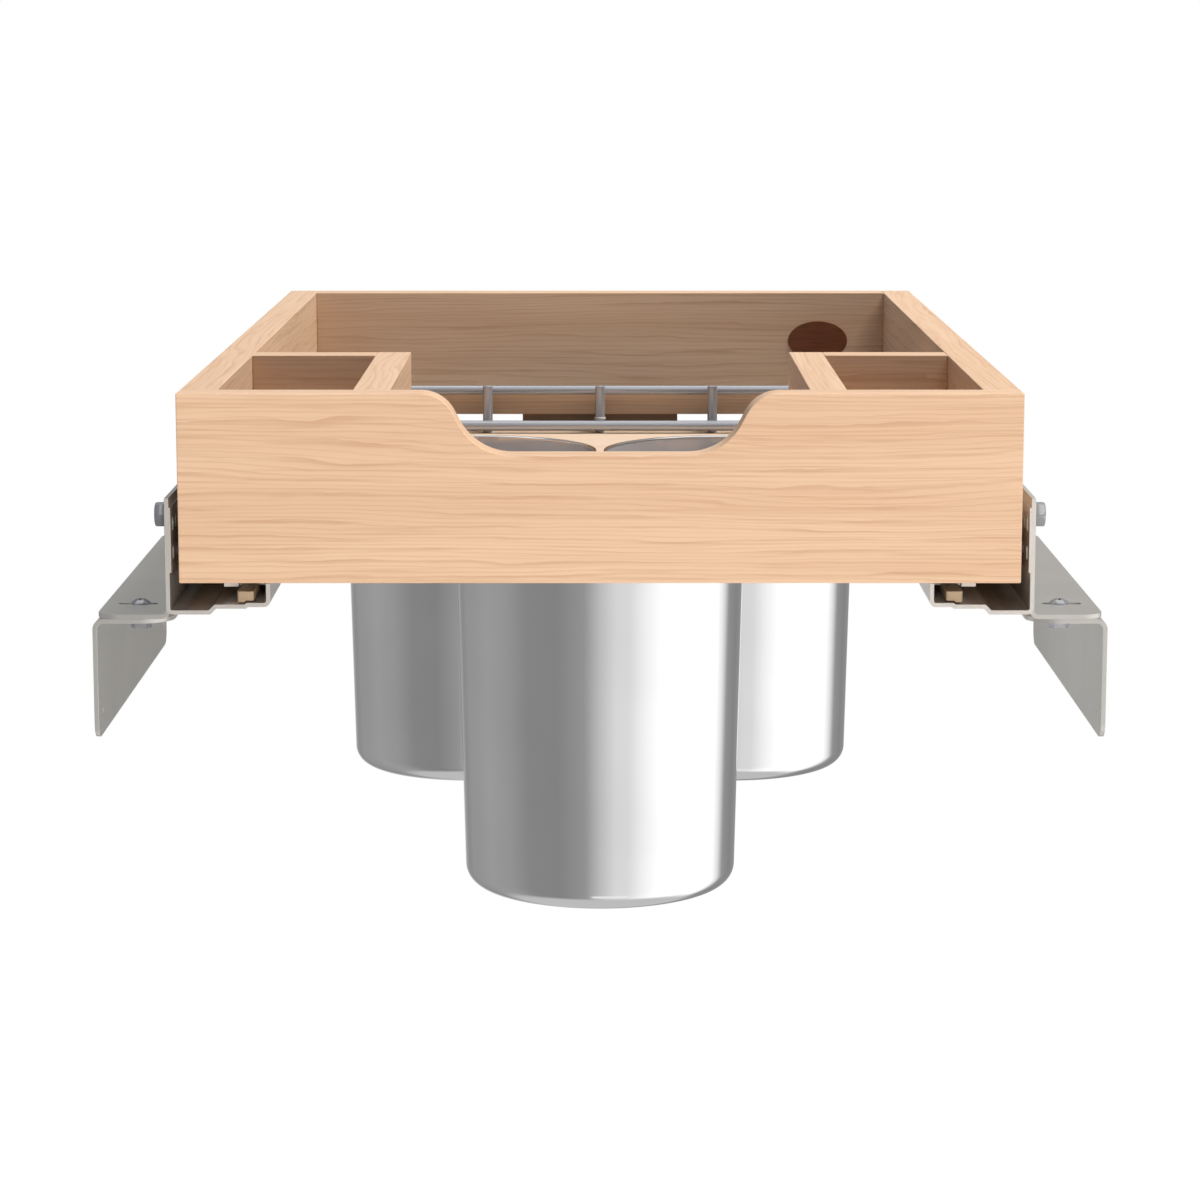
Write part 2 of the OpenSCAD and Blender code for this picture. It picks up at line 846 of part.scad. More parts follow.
module side_rollers() {
    for (row = roller_rows())
        for (front = cage_fronts())
            for (i = [0 : rollers_in_cage - 1])
                x_rod(row[0], front + cage_len * (i + 1 / 2) / rollers_in_cage, row[2], row[3],
                    row[1] - row[0]);
}

module right_rollers() {
    color(white_plastic) to_wall_centre() side_rollers();
}

module left_rollers() {
    color(white_plastic) to_wall_centre() mirrored() side_rollers();
}

// Cage bars along both ends of the rollers
module side_cages() {
    for (row = roller_rows())
        for (front = cage_fronts())
            for (x = [row[0] - cage_gap - cage_bar_t, row[1] + cage_gap])
                board([x, front, row[2] - cage_bar_h / 2],
                    [x + cage_bar_t, front + cage_len, row[2] + cage_bar_h / 2]);
}

module right_roller_cages() {
    color(grey_plastic) to_wall_centre() side_cages();
}

module left_roller_cages() {
    color(grey_plastic) to_wall_centre() mirrored() side_cages();
}

// Plastic bumper that closes the front end of the middle rail, relieved over the ledge
module side_bumper() {
    low = run_floor + bumper_floor_gap;
    high = runner_top - runner_h - bumper_lip_gap;
    in_x = inner_wall_x + channel_t + bumper_wall_gap;
    difference() {
        translate([0, 0, low]) linear_extrude(high - low) polygon(concat(
            [[in_x, mid_front_y], [in_x + bumper_w, mid_front_y]],
            corner_arc([in_x + bumper_w, mid_front_y], [in_x + bumper_w, bumper_front_y],
                [in_x, bumper_front_y], bumper_r),
            corner_arc([in_x + bumper_w, bumper_front_y], [in_x, bumper_front_y],
                [in_x, mid_front_y], bumper_r)
        ));
        board([in_x - cut, bumper_front_y - cut, low - cut],
            [ledge_x + ledge_rise + bumper_floor_gap, mid_front_y + cut,
                ledge_floor + bumper_floor_gap]);
    }
}

module right_rail_bumper() {
    color(almond) to_wall_centre() side_bumper();
}

module left_rail_bumper() {
    color(almond) to_wall_centre() mirrored() side_bumper();
}

// Axes of the two screws that hold the right locking device
function lock_screw_places() = [
    [lock_plate_x - lock_screw_head_dia, lock_front_y + lock_bar_len / 2],
    [lock_in_x + lock_screw_head_dia, lock_front_y + lock_bar_len / 2]
];

module lock_screws(fit) {
    for (place = lock_screw_places())
        translate([place[0], place[1], lock_bottom]) {
            cylinder(d = lock_screw_dia + 2 * fit, h = lock_screw_len + fit, $fn = small_fn);
            translate([0, 0, -fit]) cylinder(d = lock_screw_head_dia + 2 * fit,
                h = lock_screw_head_h + 2 * fit, $fn = small_fn);
        }
}

module locking_device_screws() {
    color(steel) to_wall_centre() {
        lock_screws(0);
        mirrored() lock_screws(0);
    }
}

// Locking device: outer nose, cross bar and inner plate with the lever's pocket
module side_lock() {
    rear = lock_front_y + lock_len;
    bar_rear = lock_front_y + lock_bar_len;
    difference() {
        union() {
            board([lock_out_x - nose_w, lock_front_y, -nose_drop],
                [lock_out_x, bar_rear, runner_top]);
            board([lock_in_x, lock_front_y, lock_bottom], [lock_out_x, bar_rear, runner_top]);
            board([lock_in_x, lock_front_y, lock_bottom], [lock_plate_x, rear, runner_top]);
        }
        board([lock_in_x - cut, bar_rear + lock_roof_t, lock_bottom - cut],
            [lock_plate_x - lock_roof_t, rear - lock_roof_t, runner_top - lock_roof_t]);
        lock_screws(lock_screw_fit);
    }
    translate([lever_pivot[0], lever_pivot[1], lock_bottom])
        cylinder(d = lever_pin_dia, h = runner_top - lock_roof_t - lock_bottom, $fn = small_fn);
}

module right_locking_device() {
    color(white_plastic) to_wall_centre() side_lock();
}

module left_locking_device() {
    color(white_plastic) to_wall_centre() mirrored() side_lock();
}

// Lever that turns on the device's pin and frees the drawer
module side_lever() {
    way = unit(lever_tip - lever_pivot);
    across = left_of(way) * lever_arm_w / 2;
    high = runner_top - lock_roof_t - lever_gap;
    translate([0, 0, lock_bottom]) difference() {
        linear_extrude(high - lock_bottom) union() {
            translate(lever_pivot) circle(d = lever_boss_dia, $fn = small_fn);
            polygon([lever_pivot + across, lever_pivot - across,
                lever_tip - across, lever_tip + across]);
            translate([lever_tip[0] - lever_pad_w / 2, lever_tip[1] - lever_pad_len / 2])
                square([lever_pad_w, lever_pad_len]);
        }
        translate([lever_pivot[0], lever_pivot[1], -cut])
            cylinder(d = lever_pin_dia + 2 * lever_fit, h = high - lock_bottom + 2 * cut,
                $fn = small_fn);
    }
}

module right_release_lever() {
    color(grey_plastic) to_wall_centre() side_lever();
}

module left_release_lever() {
    color(grey_plastic) to_wall_centre() mirrored() side_lever();
}

// Upper bracket: leg on the channel's wall and a slotted foot
module side_upper_bracket() {
    path = bent([
        [foot_end_x, foot_top],
        [wall_out_x + bracket_t, foot_top],
        [wall_out_x + bracket_t, leg_top]
    ], upper_bend_r - bracket_t);
    rear_y = bracket_front_y + bracket_len;
    difference() {
        along_depth(bracket_front_y, bracket_len) polygon(sheet(path, bracket_t));
        translate([foot_end_x, rear_y, foot_bottom - cut])
            corner_cutter(foot_corner_r, bracket_t + 2 * cut);
        translate([foot_end_x, bracket_front_y, foot_bottom - cut]) mirror([0, 1, 0])
            corner_cutter(foot_corner_r, bracket_t + 2 * cut);
        for (y = slot_places)
            translate([slot_mid_x, y, foot_bottom - cut]) foot_slot(bracket_t + 2 * cut);
        for (y = bolt_places)
            x_rod(wall_out_x - cut, y, wall_bolt_z, bolt_dia + 2 * bolt_fit,
                bracket_t + 2 * cut);
        button_shank(bolt_fit);
    }
}

module foot_slot(depth) {
    straight = slot_len - slot_w;
    for (side = [-1, 1])
        translate([side * straight / 2, 0, 0]) cylinder(d = slot_w, h = depth, $fn = small_fn);
    translate([-straight / 2, -slot_w / 2, 0]) cube([straight, slot_w, depth]);
}

module right_upper_bracket() {
    color(steel) to_wall_centre() side_upper_bracket();
}

module left_upper_bracket() {
    color(steel) to_wall_centre() mirrored() side_upper_bracket();
}

// Lower bracket: plate under the foot and a flange for the cabinet wall
module side_lower_bracket() {
    path = bent([
        [wall_face_x, flange_bottom],
        [wall_face_x, foot_bottom],
        [plate_in_x, foot_bottom]
    ], lower_bend_r);
    rear_y = bracket_front_y + bracket_len;
    difference() {
        along_depth(bracket_front_y, bracket_len) polygon(sheet(path, bracket_t));
        for (side = [0, 1])
            translate([plate_in_x, bracket_front_y + side * bracket_len,
                    foot_bottom - bracket_t - cut])
                mirror([1, 0, 0]) mirror([0, 1 - side, 0])
                    corner_cutter(plate_corner_r, bracket_t + 2 * cut);
        for (side = [0, 1])
            translate([wall_face_x + cut, bracket_front_y + side * bracket_len, flange_bottom])
                mirror([0, 1 - side, 0]) rotate([0, -90, 0]) mirror([1, 0, 0])
                    corner_cutter(flange_corner_r, bracket_t + 2 * cut);
        for (y = slot_places)
            translate([clamp_screw_x, y, foot_bottom - bracket_t - cut])
                cylinder(d = clamp_screw_dia + 2 * bolt_fit, h = bracket_t + 2 * cut,
                    $fn = small_fn);
        for (y = wall_hole_places)
            x_rod(wall_face_x - bracket_t - cut, y, wall_hole_z, wall_hole_dia,
                bracket_t + 2 * cut);
    }
}

module right_lower_bracket() {
    color(steel) to_wall_centre() side_lower_bracket();
}

module left_lower_bracket() {
    color(steel) to_wall_centre() mirrored() side_lower_bracket();
}

// Hexagon bolt that clamps the upper bracket to the channel's wall
module side_bolts() {
    seat_x = wall_out_x + bracket_t;
    end_x = wall_in_x - wall_pad_t - clinch_nut_t;
    for (y = bolt_places) {
        x_rod(end_x, y, wall_bolt_z, bolt_dia, seat_x - end_x);
        translate([seat_x, y, wall_bolt_z]) rotate([0, 90, 0]) intersection() {
            rotate([0, 0, 30])
                cylinder(d = bolt_head_flats / cos(30), h = bolt_head_h, $fn = 6);
            bolt_dome();
        }
    }
}

// Turned form that rounds the hexagon's corners at the bolt's outer end
module bolt_dome() {
    r = bolt_head_flats / cos(30) / 2 + bolt_fit;
    rotate_extrude($fn = small_fn) polygon([
        [0, 0],
        [r, 0],
        [r, bolt_head_h - 2 * bolt_head_round],
        [bolt_head_flats / 2, bolt_head_h - bolt_head_round],
        [bolt_head_flats / 2 - bolt_head_round, bolt_head_h],
        [0, bolt_head_h]
    ]);
}

module channel_bolts() {
    color(chrome) to_wall_centre() {
        side_bolts();
        mirrored() side_bolts();
    }
}

// Flush nut on the inner side of the channel's wall
module side_clinch_nuts() {
    for (y = bolt_places)
        difference() {
            x_rod(wall_in_x - wall_pad_t - clinch_nut_t, y, wall_bolt_z, clinch_nut_dia,
                clinch_nut_t);
            x_rod(wall_in_x - wall_pad_t - clinch_nut_t - cut, y, wall_bolt_z,
                bolt_dia + 2 * weld_fit, clinch_nut_t + 2 * cut);
        }
}

module channel_nuts() {
    color(steel) to_wall_centre() {
        side_clinch_nuts();
        mirrored() side_clinch_nuts();
    }
}

// Shank of the button-head screw through the channel's wall and the bracket's leg
module button_shank(fit) {
    x_rod(wall_in_x - wall_pad_t, bracket_front_y + button_setback, wall_low_hole_z,
        button_dia + 2 * fit, channel_t + wall_pad_t + bracket_t + fit);
}

// Button head on the wall's inner side, a cap of a sphere
module button_head() {
    r = (button_head_dia * button_head_dia / 4 + button_head_h * button_head_h)
        / (2 * button_head_h);
    swing = asin(button_head_dia / 2 / r);
    translate([wall_in_x - wall_pad_t, bracket_front_y + button_setback, wall_low_hole_z])
        rotate([0, -90, 0]) rotate_extrude($fn = small_fn) polygon(concat(
            [[0, 0]],
            [for (i = [arc_steps : -1 : 0]) let (a = swing * i / arc_steps)
                [r * sin(a), r * (cos(a) - 1) + button_head_h]]
        ));
}

module side_button_screw() {
    button_shank(0);
    button_head();
}

module channel_screws() {
    color(chrome) to_wall_centre() {
        side_button_screw();
        mirrored() side_button_screw();
    }
}

// Truss-head screw that clamps the foot's slot to the lower bracket
module clamp_screw() {
    shank = 2 * bracket_t + clamp_flange_h + clamp_nut_h + clamp_screw_end;
    crown_r = (clamp_head_dia * clamp_head_dia / 4 + clamp_head_h * clamp_head_h)
        / (2 * clamp_head_h);
    crown_angle = asin(clamp_head_dia / 2 / crown_r);
    translate([0, 0, -shank]) cylinder(d = clamp_screw_dia, h = shank, $fn = small_fn);
    difference() {
        rotate_extrude($fn = small_fn) polygon(concat(
            [[0, 0]],
            [for (i = [arc_steps : -1 : 0]) let (a = crown_angle * i / arc_steps)
                [crown_r * sin(a), crown_r * (cos(a) - 1) + clamp_head_h]]
        ));
        for (turn = [0, 90])
            rotate([0, 0, turn])
                translate([-recess_span / 2, -recess_w / 2, clamp_head_h - recess_d])
                    cube([recess_span, recess_w, recess_d + cut]);
    }
}

module side_clamp_screws() {
    for (y = slot_places) translate([clamp_screw_x, y, foot_top]) clamp_screw();
}

module bracket_screws() {
    color(steel) to_wall_centre() {
        side_clamp_screws();
        mirrored() side_clamp_screws();
    }
}

// Flanged hexagon nut under the lower bracket's plate
module clamp_nut() {
    difference() {
        union() {
            translate([0, 0, -clamp_flange_h])
                cylinder(d = clamp_flange_dia, h = clamp_flange_h, $fn = small_fn);
            translate([0, 0, -clamp_flange_h - clamp_nut_h])
                cylinder(d = clamp_nut_flats / cos(30), h = clamp_nut_h, $fn = 6);
        }
        translate([0, 0, -clamp_flange_h - clamp_nut_h - cut])
            cylinder(d = clamp_screw_dia + 2 * weld_fit,
                h = clamp_flange_h + clamp_nut_h + 2 * cut, $fn = small_fn);
    }
}

module side_clamp_nuts() {
    for (y = slot_places)
        translate([clamp_screw_x, y, foot_bottom - bracket_t]) clamp_nut();
}

module bracket_nuts() {
    color(steel) to_wall_centre() {
        side_clamp_nuts();
        mirrored() side_clamp_nuts();
    }
}

// Closed housing of the soft-close damper, on the channel's floor
module side_damper() {
    rear = channel_front_y + channel_len - damper_rear_gap;
    front = rear - damper_len;
    out_x = wall_in_x - damper_side_gap;
    in_x = joggle_start_x + damper_joggle_gap;
    top = -damper_top_gap;
    mid_x = (in_x + out_x) / 2;
    difference() {
        along_depth(front, damper_len) polygon([
            [in_x, low_floor],
            [out_x - damper_edge, low_floor],
            [out_x, low_floor + damper_edge],
            [out_x, top - damper_edge],
            [out_x - damper_edge, top],
            [in_x + damper_edge, top],
            [in_x, top - damper_edge]
        ]);
        board([mid_x - damper_groove_w / 2, front - cut, top - damper_groove_d],
            [mid_x + damper_groove_w / 2, rear + cut, top + cut]);
        for (y = [front + damper_rib_pitch : damper_rib_pitch : rear - damper_rib_pitch])
            board([out_x - damper_rib_d, y - damper_rib_w / 2, low_floor - cut],
                [out_x + cut, y + damper_rib_w / 2, top + cut]);
    }
}

module right_soft_close_unit() {
    color(grey_plastic) to_wall_centre() side_damper();
}

module left_soft_close_unit() {
    color(grey_plastic) to_wall_centre() mirrored() side_damper();
}

front_panel();
left_side_panel();
right_side_panel();
back_panel();
left_divider();
right_divider();
left_cross_board();
right_cross_board();
canister_shelf();
rear_cross_strip();
strip_support_block();
oval_badge();
gallery_top_rail();
gallery_lower_rail();
gallery_posts();
post_collars();
box_dowels();
left_drawer_runner();
right_drawer_runner();
left_locking_device();
right_locking_device();
locking_device_screws();
left_release_lever();
right_release_lever();
front_canister();
left_canister();
right_canister();
left_middle_rail();
right_middle_rail();
left_rollers();
right_rollers();
left_roller_cages();
right_roller_cages();
left_rail_bumper();
right_rail_bumper();
left_cabinet_channel();
right_cabinet_channel();
left_upper_bracket();
right_upper_bracket();
left_lower_bracket();
right_lower_bracket();
channel_bolts();
channel_nuts();
channel_screws();
bracket_screws();
bracket_nuts();
left_soft_close_unit();
right_soft_close_unit();
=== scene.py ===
import json
from math import cos, pi, radians, sin, tan

import bmesh
import bpy
import numpy as np
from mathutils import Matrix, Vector

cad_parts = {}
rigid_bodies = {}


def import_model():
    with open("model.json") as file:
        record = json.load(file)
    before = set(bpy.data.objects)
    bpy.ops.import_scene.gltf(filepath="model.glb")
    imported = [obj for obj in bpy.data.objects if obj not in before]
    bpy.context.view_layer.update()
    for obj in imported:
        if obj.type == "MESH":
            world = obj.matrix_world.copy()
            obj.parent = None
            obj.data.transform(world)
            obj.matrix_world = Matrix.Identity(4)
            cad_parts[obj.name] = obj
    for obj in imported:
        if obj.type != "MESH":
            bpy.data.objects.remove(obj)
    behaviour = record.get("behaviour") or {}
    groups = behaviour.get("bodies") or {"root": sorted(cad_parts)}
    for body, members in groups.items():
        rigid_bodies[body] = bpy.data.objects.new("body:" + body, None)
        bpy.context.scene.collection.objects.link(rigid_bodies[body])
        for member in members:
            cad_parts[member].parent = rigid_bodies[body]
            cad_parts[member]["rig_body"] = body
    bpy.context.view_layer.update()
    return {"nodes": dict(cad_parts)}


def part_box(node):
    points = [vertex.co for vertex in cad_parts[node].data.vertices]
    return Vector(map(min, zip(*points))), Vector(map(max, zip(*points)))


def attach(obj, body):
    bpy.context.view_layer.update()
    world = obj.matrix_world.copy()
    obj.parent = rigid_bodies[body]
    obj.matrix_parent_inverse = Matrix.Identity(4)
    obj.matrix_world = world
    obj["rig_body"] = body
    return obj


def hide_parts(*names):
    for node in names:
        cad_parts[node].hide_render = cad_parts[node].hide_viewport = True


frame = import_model()

# One millimetre, in the metres of the frame
MM = 0.001


# Camera: its place in metres, its tilt from straight down, its lens and sensor in millimetres

CAMERA_FROM = (0.0, -1.5968, 0.28255)
CAMERA_PITCH = radians(80.485)
CAMERA_LENS = 104.365
CAMERA_SENSOR = 36.0


def photograph_camera():
    """Camera at the photograph's place: level across, looking along +Y and a little down."""
    data = bpy.data.cameras.new("photograph_camera")
    data.lens = CAMERA_LENS
    data.sensor_width = CAMERA_SENSOR
    camera = bpy.data.objects.new("photograph_camera", data)
    camera.location = CAMERA_FROM
    camera.rotation_euler = (CAMERA_PITCH, 0.0, 0.0)
    bpy.context.scene.collection.objects.link(camera)
    bpy.context.scene.camera = camera


photograph_camera()


# Shader maths

class Value:
    """One number on a node's socket. Arithmetic on it adds Math nodes to the finish it belongs to."""

    def __init__(self, finish, socket):
        self.finish = finish
        self.socket = socket

    def _with(self, operation, first, second):
        return self.finish.add("Math", {"operation": operation}, {0: first, 1: second})

    def __add__(self, other):
        return self._with("ADD", self, other)

    def __radd__(self, other):
        return self._with("ADD", other, self)

    def __sub__(self, other):
        return self._with("SUBTRACT", self, other)

    def __rsub__(self, other):
        return self._with("SUBTRACT", other, self)

    def __mul__(self, other):
        return self._with("MULTIPLY", self, other)

    def __rmul__(self, other):
        return self._with("MULTIPLY", other, self)

    def __truediv__(self, other):
        return self._with("DIVIDE", self, other)


class Finish:
    """A material under construction, with one method for every node but the Math ones."""

    def __init__(self, name, tree=None):
        if tree is None:
            self.material = bpy.data.materials.new(name)
            self.material.use_nodes = True
            tree = self.material.node_tree
        self.tree = tree
        self.tree.nodes.clear()

    def add(self, kind, settings=None, inputs=None, output=0):
        """A node: first its settings, a ramp's stops among them, and then the values or links
        of its sockets."""
        node = self.tree.nodes.new("ShaderNode" + kind)
        for key, value in (settings or {}).items():
            if key == "stops":
                set_stops(node.color_ramp, value)
            else:
                setattr(node, key, value)
        for key, value in (inputs or {}).items():
            if isinstance(value, Value):
                self.tree.links.new(value.socket, node.inputs[key])
            else:
                node.inputs[key].default_value = value
        return Value(self, node.outputs[output]) if node.outputs else None

    def band(self, value, low, high):
        """Smooth step: 0 below low, 1 above high."""
        return self.add("MapRange", {"interpolation_type": "SMOOTHSTEP"},
                        {"Value": value, "From Min": low, "From Max": high})

    def blend(self, share, first, second):
        """Colour between first, where share is 0, and second, where it is 1."""
        return self.add("Mix", {"data_type": "RGBA"}, {0: share, 6: first, 7: second}, 2)

    def noise(self, place, stretch, detail=2.0, roughness=0.5):
        """Noise of about one cell to the metre, after place is stretched by three factors."""
        scaled = self.add("VectorMath", {"operation": "MULTIPLY"}, {0: place, 1: stretch})
        return self.add("TexNoise", {}, {"Vector": scaled, "Scale": 1.0, "Detail": detail,
                                         "Roughness": roughness})

    def object_place(self, shift=(0.0, 0.0, 0.0), turn=(0.0, 0.0, 0.0)):
        """Object coordinates, turned and shifted by a Mapping node."""
        place = self.add("TexCoord", {}, {}, 3)
        return self.add("Mapping", {}, {"Vector": place, "Location": shift, "Rotation": turn})

    def bump(self, height, strength, distance):
        """Normal lifted by height, where a height of 1 stands distance metres out."""
        return self.add("Bump", {}, {"Height": height, "Strength": strength, "Distance": distance})

    def close(self, shader):
        """The material, with shader as its surface."""
        self.add("OutputMaterial", {}, {"Surface": shader})
        return self.material


def set_stops(ramp, stops):
    """Gives a colour ramp its stops: pairs of a place and a colour."""
    while len(ramp.elements) > 1:
        ramp.elements.remove(ramp.elements[0])
    ramp.elements[0].position, ramp.elements[0].color = stops[0]
    for place, colour in stops[1:]:
        ramp.elements.new(place).color = colour


def rgb(red, green, blue):
    """Linear colour of an eight-bit display colour."""
    def linear(level):
        share = level / 255
        return share / 12.92 if share <= 0.04045 else ((share + 0.055) / 1.055) ** 2.4
    return (linear(red), linear(green), linear(blue), 1.0)


# Finishes

MAPLE_LIGHT = rgb(217, 186, 155)
MAPLE_PINK = rgb(210, 177, 144)
MAPLE_STREAK = rgb(174, 131, 98)
# Dark grey mixed into a board's tone as painted shade, for a board that stands in shadow
MAPLE_PAINTED_SHADE = rgb(50, 50, 46)
GRAIN_TURNS = {"x": (0.0, 0.0, 0.0), "y": (0.0, 0.0, -pi / 2), "z": (0.0, pi / 2, 0.0)}
RING_PITCH = 5.2 * MM
FINE_PITCH = 1.7 * MM
# Unit direction, square to the grain, in which rings are counted, and their count at the origin
RING_ACROSS = (0.6, 0.8)
RING_START = 50.0
# Share of a ring after which it darkens
LATE_WOOD = 0.58


def ring_lines(finish, place, pitch, sway):
    """Growth rings cut by the board's face: one over pitch times the place across the grain,
    and a sway added, gives a number whose fraction climbs slowly and drops at once, as a
    ring darkens towards its late wood and ends in a sharp line."""
    across = finish.add("VectorMath", {"operation": "DOT_PRODUCT"},
                        {0: place, 1: (0.0, RING_ACROSS[0] / pitch, RING_ACROSS[1] / pitch)}, 1)
    fraction = finish.add("Math", {"operation": "FRACT"}, {0: across + sway + RING_START})
    return finish.band(fraction, LATE_WOOD, 1.0)


def maple(name, along, shift, painted_shade=0.0):
    """Lacquered maple. Wavy rings run with the grain, strong here and faint there, over slow
    bands of tone, finer rings, thin lines and a fibre that also lifts the surface. Its last
    argument mixes in a dark grey as painted shade, for a board that stands in deep shadow."""
    finish = Finish(name)
    place = finish.object_place(shift, GRAIN_TURNS[along])
    wide = finish.noise(place, (2.2, 24.0, 24.0), 2.0)
    ripple = finish.noise(place, (13.0, 80.0, 80.0), 3.0, 0.6)
    strength = finish.band(finish.noise(place, (15.0, 190.0, 190.0), 2.0), 0.4, 0.66)
    bands = finish.band(finish.noise(place, (3.0, 75.0, 75.0), 2.0), 0.34, 0.66)
    rings = ring_lines(finish, place, RING_PITCH, wide * 5.0 + ripple * 1.4)
    fine = ring_lines(finish, place, FINE_PITCH, wide * 15.0 + ripple * 2.0)
    lines = finish.band(finish.noise(place, (14.0, 900.0, 900.0), 2.0), 0.5, 0.72)
    fibre = finish.noise(place, (110.0, 2600.0, 2600.0), 2.0)
    tone = finish.blend(bands * 0.8, MAPLE_LIGHT, MAPLE_PINK)
    tone = finish.blend(rings * (0.04 + strength * 0.4), tone, MAPLE_STREAK)
    tone = finish.blend(fine * (0.3 - strength * 0.18), tone, MAPLE_STREAK)
    tone = finish.blend(lines * 0.26, tone, MAPLE_STREAK)
    # Painted shade: the tone is mixed towards a dark grey by the given share
    if painted_shade:
        tone = finish.blend(painted_shade, tone, MAPLE_PAINTED_SHADE)
    wood = finish.add("BsdfPrincipled", {}, {
        "Base Color": tone,
        "Roughness": 0.44 + fibre * 0.12 + rings * 0.05,
        "Specular IOR Level": 0.32,
        "Coat Weight": 0.12,
        "Coat Roughness": 0.28,
        "Normal": finish.bump(fibre * 0.5 - rings * 0.3, 0.2, 0.0001),
    })
    return finish.close(wood)


def plywood():
    """Birch plywood: pale face with broad soft figure, and thin layers along its edges."""
    finish = Finish("birch_plywood")
    place = finish.object_place((0.31, 0.12, 0.0))
    sway = finish.noise(place, (6.0, 10.0, 6.0), 2.0) - 0.5
    drift = finish.add("CombineXYZ", {}, {"X": 0.0, "Y": sway * 0.03, "Z": 0.0})
    grain = finish.add("VectorMath", {"operation": "ADD"}, {0: place, 1: drift})
    figure = finish.band(finish.noise(grain, (5.0, 90.0, 1.0), 3.0), 0.4, 0.7)
    fibre = finish.noise(grain, (60.0, 1300.0, 1.0), 2.0)
    layers = finish.band(finish.add("TexNoise", {"noise_dimensions": "1D"}, {
        "W": finish.add("SeparateXYZ", {}, {"Vector": place}, 2) * 900.0, "Scale": 1.0}), 0.4, 0.6)
    tone = finish.blend(figure * 0.45, rgb(214, 192, 168), rgb(200, 171, 142))
    tone = finish.blend(layers * 0.12, tone, rgb(172, 132, 96))
    board = finish.add("BsdfPrincipled", {}, {
        "Base Color": tone,
        "Roughness": 0.5 + fibre * 0.12,
        "Specular IOR Level": 0.3,
        "Normal": finish.bump(fibre, 0.12, 0.0001),
    })
    return finish.close(board)


def dowel_wood():
    """Beech dowel: even tan with short flecks."""
    finish = Finish("beech_dowel")
    place = finish.object_place()
    flecks = finish.band(finish.noise(place, (700.0, 160.0, 700.0), 2.0), 0.55, 0.7)
    tone = finish.blend(flecks * 0.5, rgb(224, 184, 142), rgb(180, 132, 92))
    return finish.close(finish.add("BsdfPrincipled", {}, {
        "Base Color": tone,
        "Roughness": 0.55 + flecks * 0.1,
    }))


# Cells of noise to the metre: marks drawn up a canister's wall, and a mould's fine grain
DRAWN_MARKS = (420.0, 420.0, 2.5)
SPARK_GRAIN = (1500.0, 1500.0, 1500.0)


def metal(name, base, shade, roughness, streak, ripple=0.0, spread=0.06, metallic=1.0):
    """Metal whose roughness and tone vary along the marks left by its rolling or drawing:
    streak is how the marks are stretched. A metallic share below 1 is a dull, fogged face."""
    finish = Finish(name)
    place = finish.object_place()
    marks = finish.noise(place, streak, 3.0)
    cloud = finish.noise(place, (22.0, 22.0, 22.0), 2.0)
    tone = finish.blend(finish.band(cloud, 0.35, 0.7) * 0.6, base, shade)
    inputs = {
        "Base Color": tone,
        "Metallic": metallic,
        "Roughness": roughness + (marks - 0.5) * spread,
    }
    if ripple:
        inputs["Normal"] = finish.bump(marks, ripple, 0.00004)
    return finish.close(finish.add("BsdfPrincipled", {}, inputs))


def plastic(name, base, shade, roughness):
    """Moulded plastic: a fine spark-eroded grain and a faint drift of tone."""
    finish = Finish(name)
    place = finish.object_place()
    cloud = finish.noise(place, (60.0, 60.0, 60.0), 2.0)
    pits = finish.noise(place, SPARK_GRAIN, 1.0)
    return finish.close(finish.add("BsdfPrincipled", {}, {
        "Base Color": finish.blend(cloud, base, shade),
        "Roughness": roughness + (pits - 0.5) * 0.12,
        "Normal": finish.bump(pits, 0.15, 0.00005),
    }))


def stained_disc():
    """Plain stained disc: deep brown with a soft grain and a worn sheen."""
    finish = Finish("stained_disc")
    place = finish.object_place((0.2, 0.0, 0.07))
    grain = finish.noise(place, (60.0, 400.0, 700.0), 3.0)
    tone = finish.blend(finish.band(grain, 0.4, 0.7) * 0.5, rgb(112, 60, 28), rgb(78, 40, 18))
    return finish.close(finish.add("BsdfPrincipled", {}, {
        "Base Color": tone,
        "Roughness": 0.4 + grain * 0.1,
        "Normal": finish.bump(grain, 0.1, 0.0001),
    }))


STAINLESS = metal("polished_stainless", rgb(232, 232, 232), rgb(226, 226, 227),
                  roughness=0.1, streak=DRAWN_MARKS, spread=0.05)
STAINLESS_INSIDE = metal("brushed_stainless_inside", rgb(228, 228, 228), rgb(218, 218, 219),
                         roughness=0.1, streak=DRAWN_MARKS, spread=0.08, metallic=0.66)
CHROME = metal("chrome_plate", rgb(178, 181, 187), rgb(170, 174, 181),
               roughness=0.12, streak=(60.0, 60.0, 60.0), spread=0.04, metallic=0.5)
ZINC = metal("zinc_plated_steel", rgb(217, 213, 206), rgb(207, 202, 195),
             roughness=0.3, streak=(700.0, 14.0, 700.0), ripple=0.08, spread=0.1, metallic=0.62)
BRACKET_STEEL = metal("bracket_steel", rgb(214, 212, 206), rgb(206, 204, 198), roughness=0.4,
                      streak=(900.0, 900.0, 900.0), ripple=0.06, spread=0.1, metallic=0.82)
FASTENER = metal("bright_fastener", rgb(172, 174, 178), rgb(156, 158, 163),
                 roughness=0.24, streak=(500.0, 500.0, 500.0), spread=0.1, metallic=0.72)
WHITE_PLASTIC = plastic("white_plastic", rgb(206, 204, 200), rgb(198, 196, 192), roughness=0.42)
GREY_PLASTIC = plastic("grey_plastic", rgb(126, 128, 130), rgb(115, 117, 119), roughness=0.45)
ALMOND_NYLON = plastic("almond_nylon", rgb(172, 152, 126), rgb(162, 142, 116), roughness=0.4)
PLYWOOD = plywood()
DOWEL = dowel_wood()
DISC = stained_disc()


# Surfaces

# Steps round a rod or screw, and in the quarter circle that eases an edge
ROUND_STEPS = 48
EASE_STEPS = 4
# Share of the ease by which a rim goes in, so that a corner of that radius keeps some width
RIM_SHARE = 0.98
# A radius that counts as lying on the axis
ON_AXIS = 1e-9
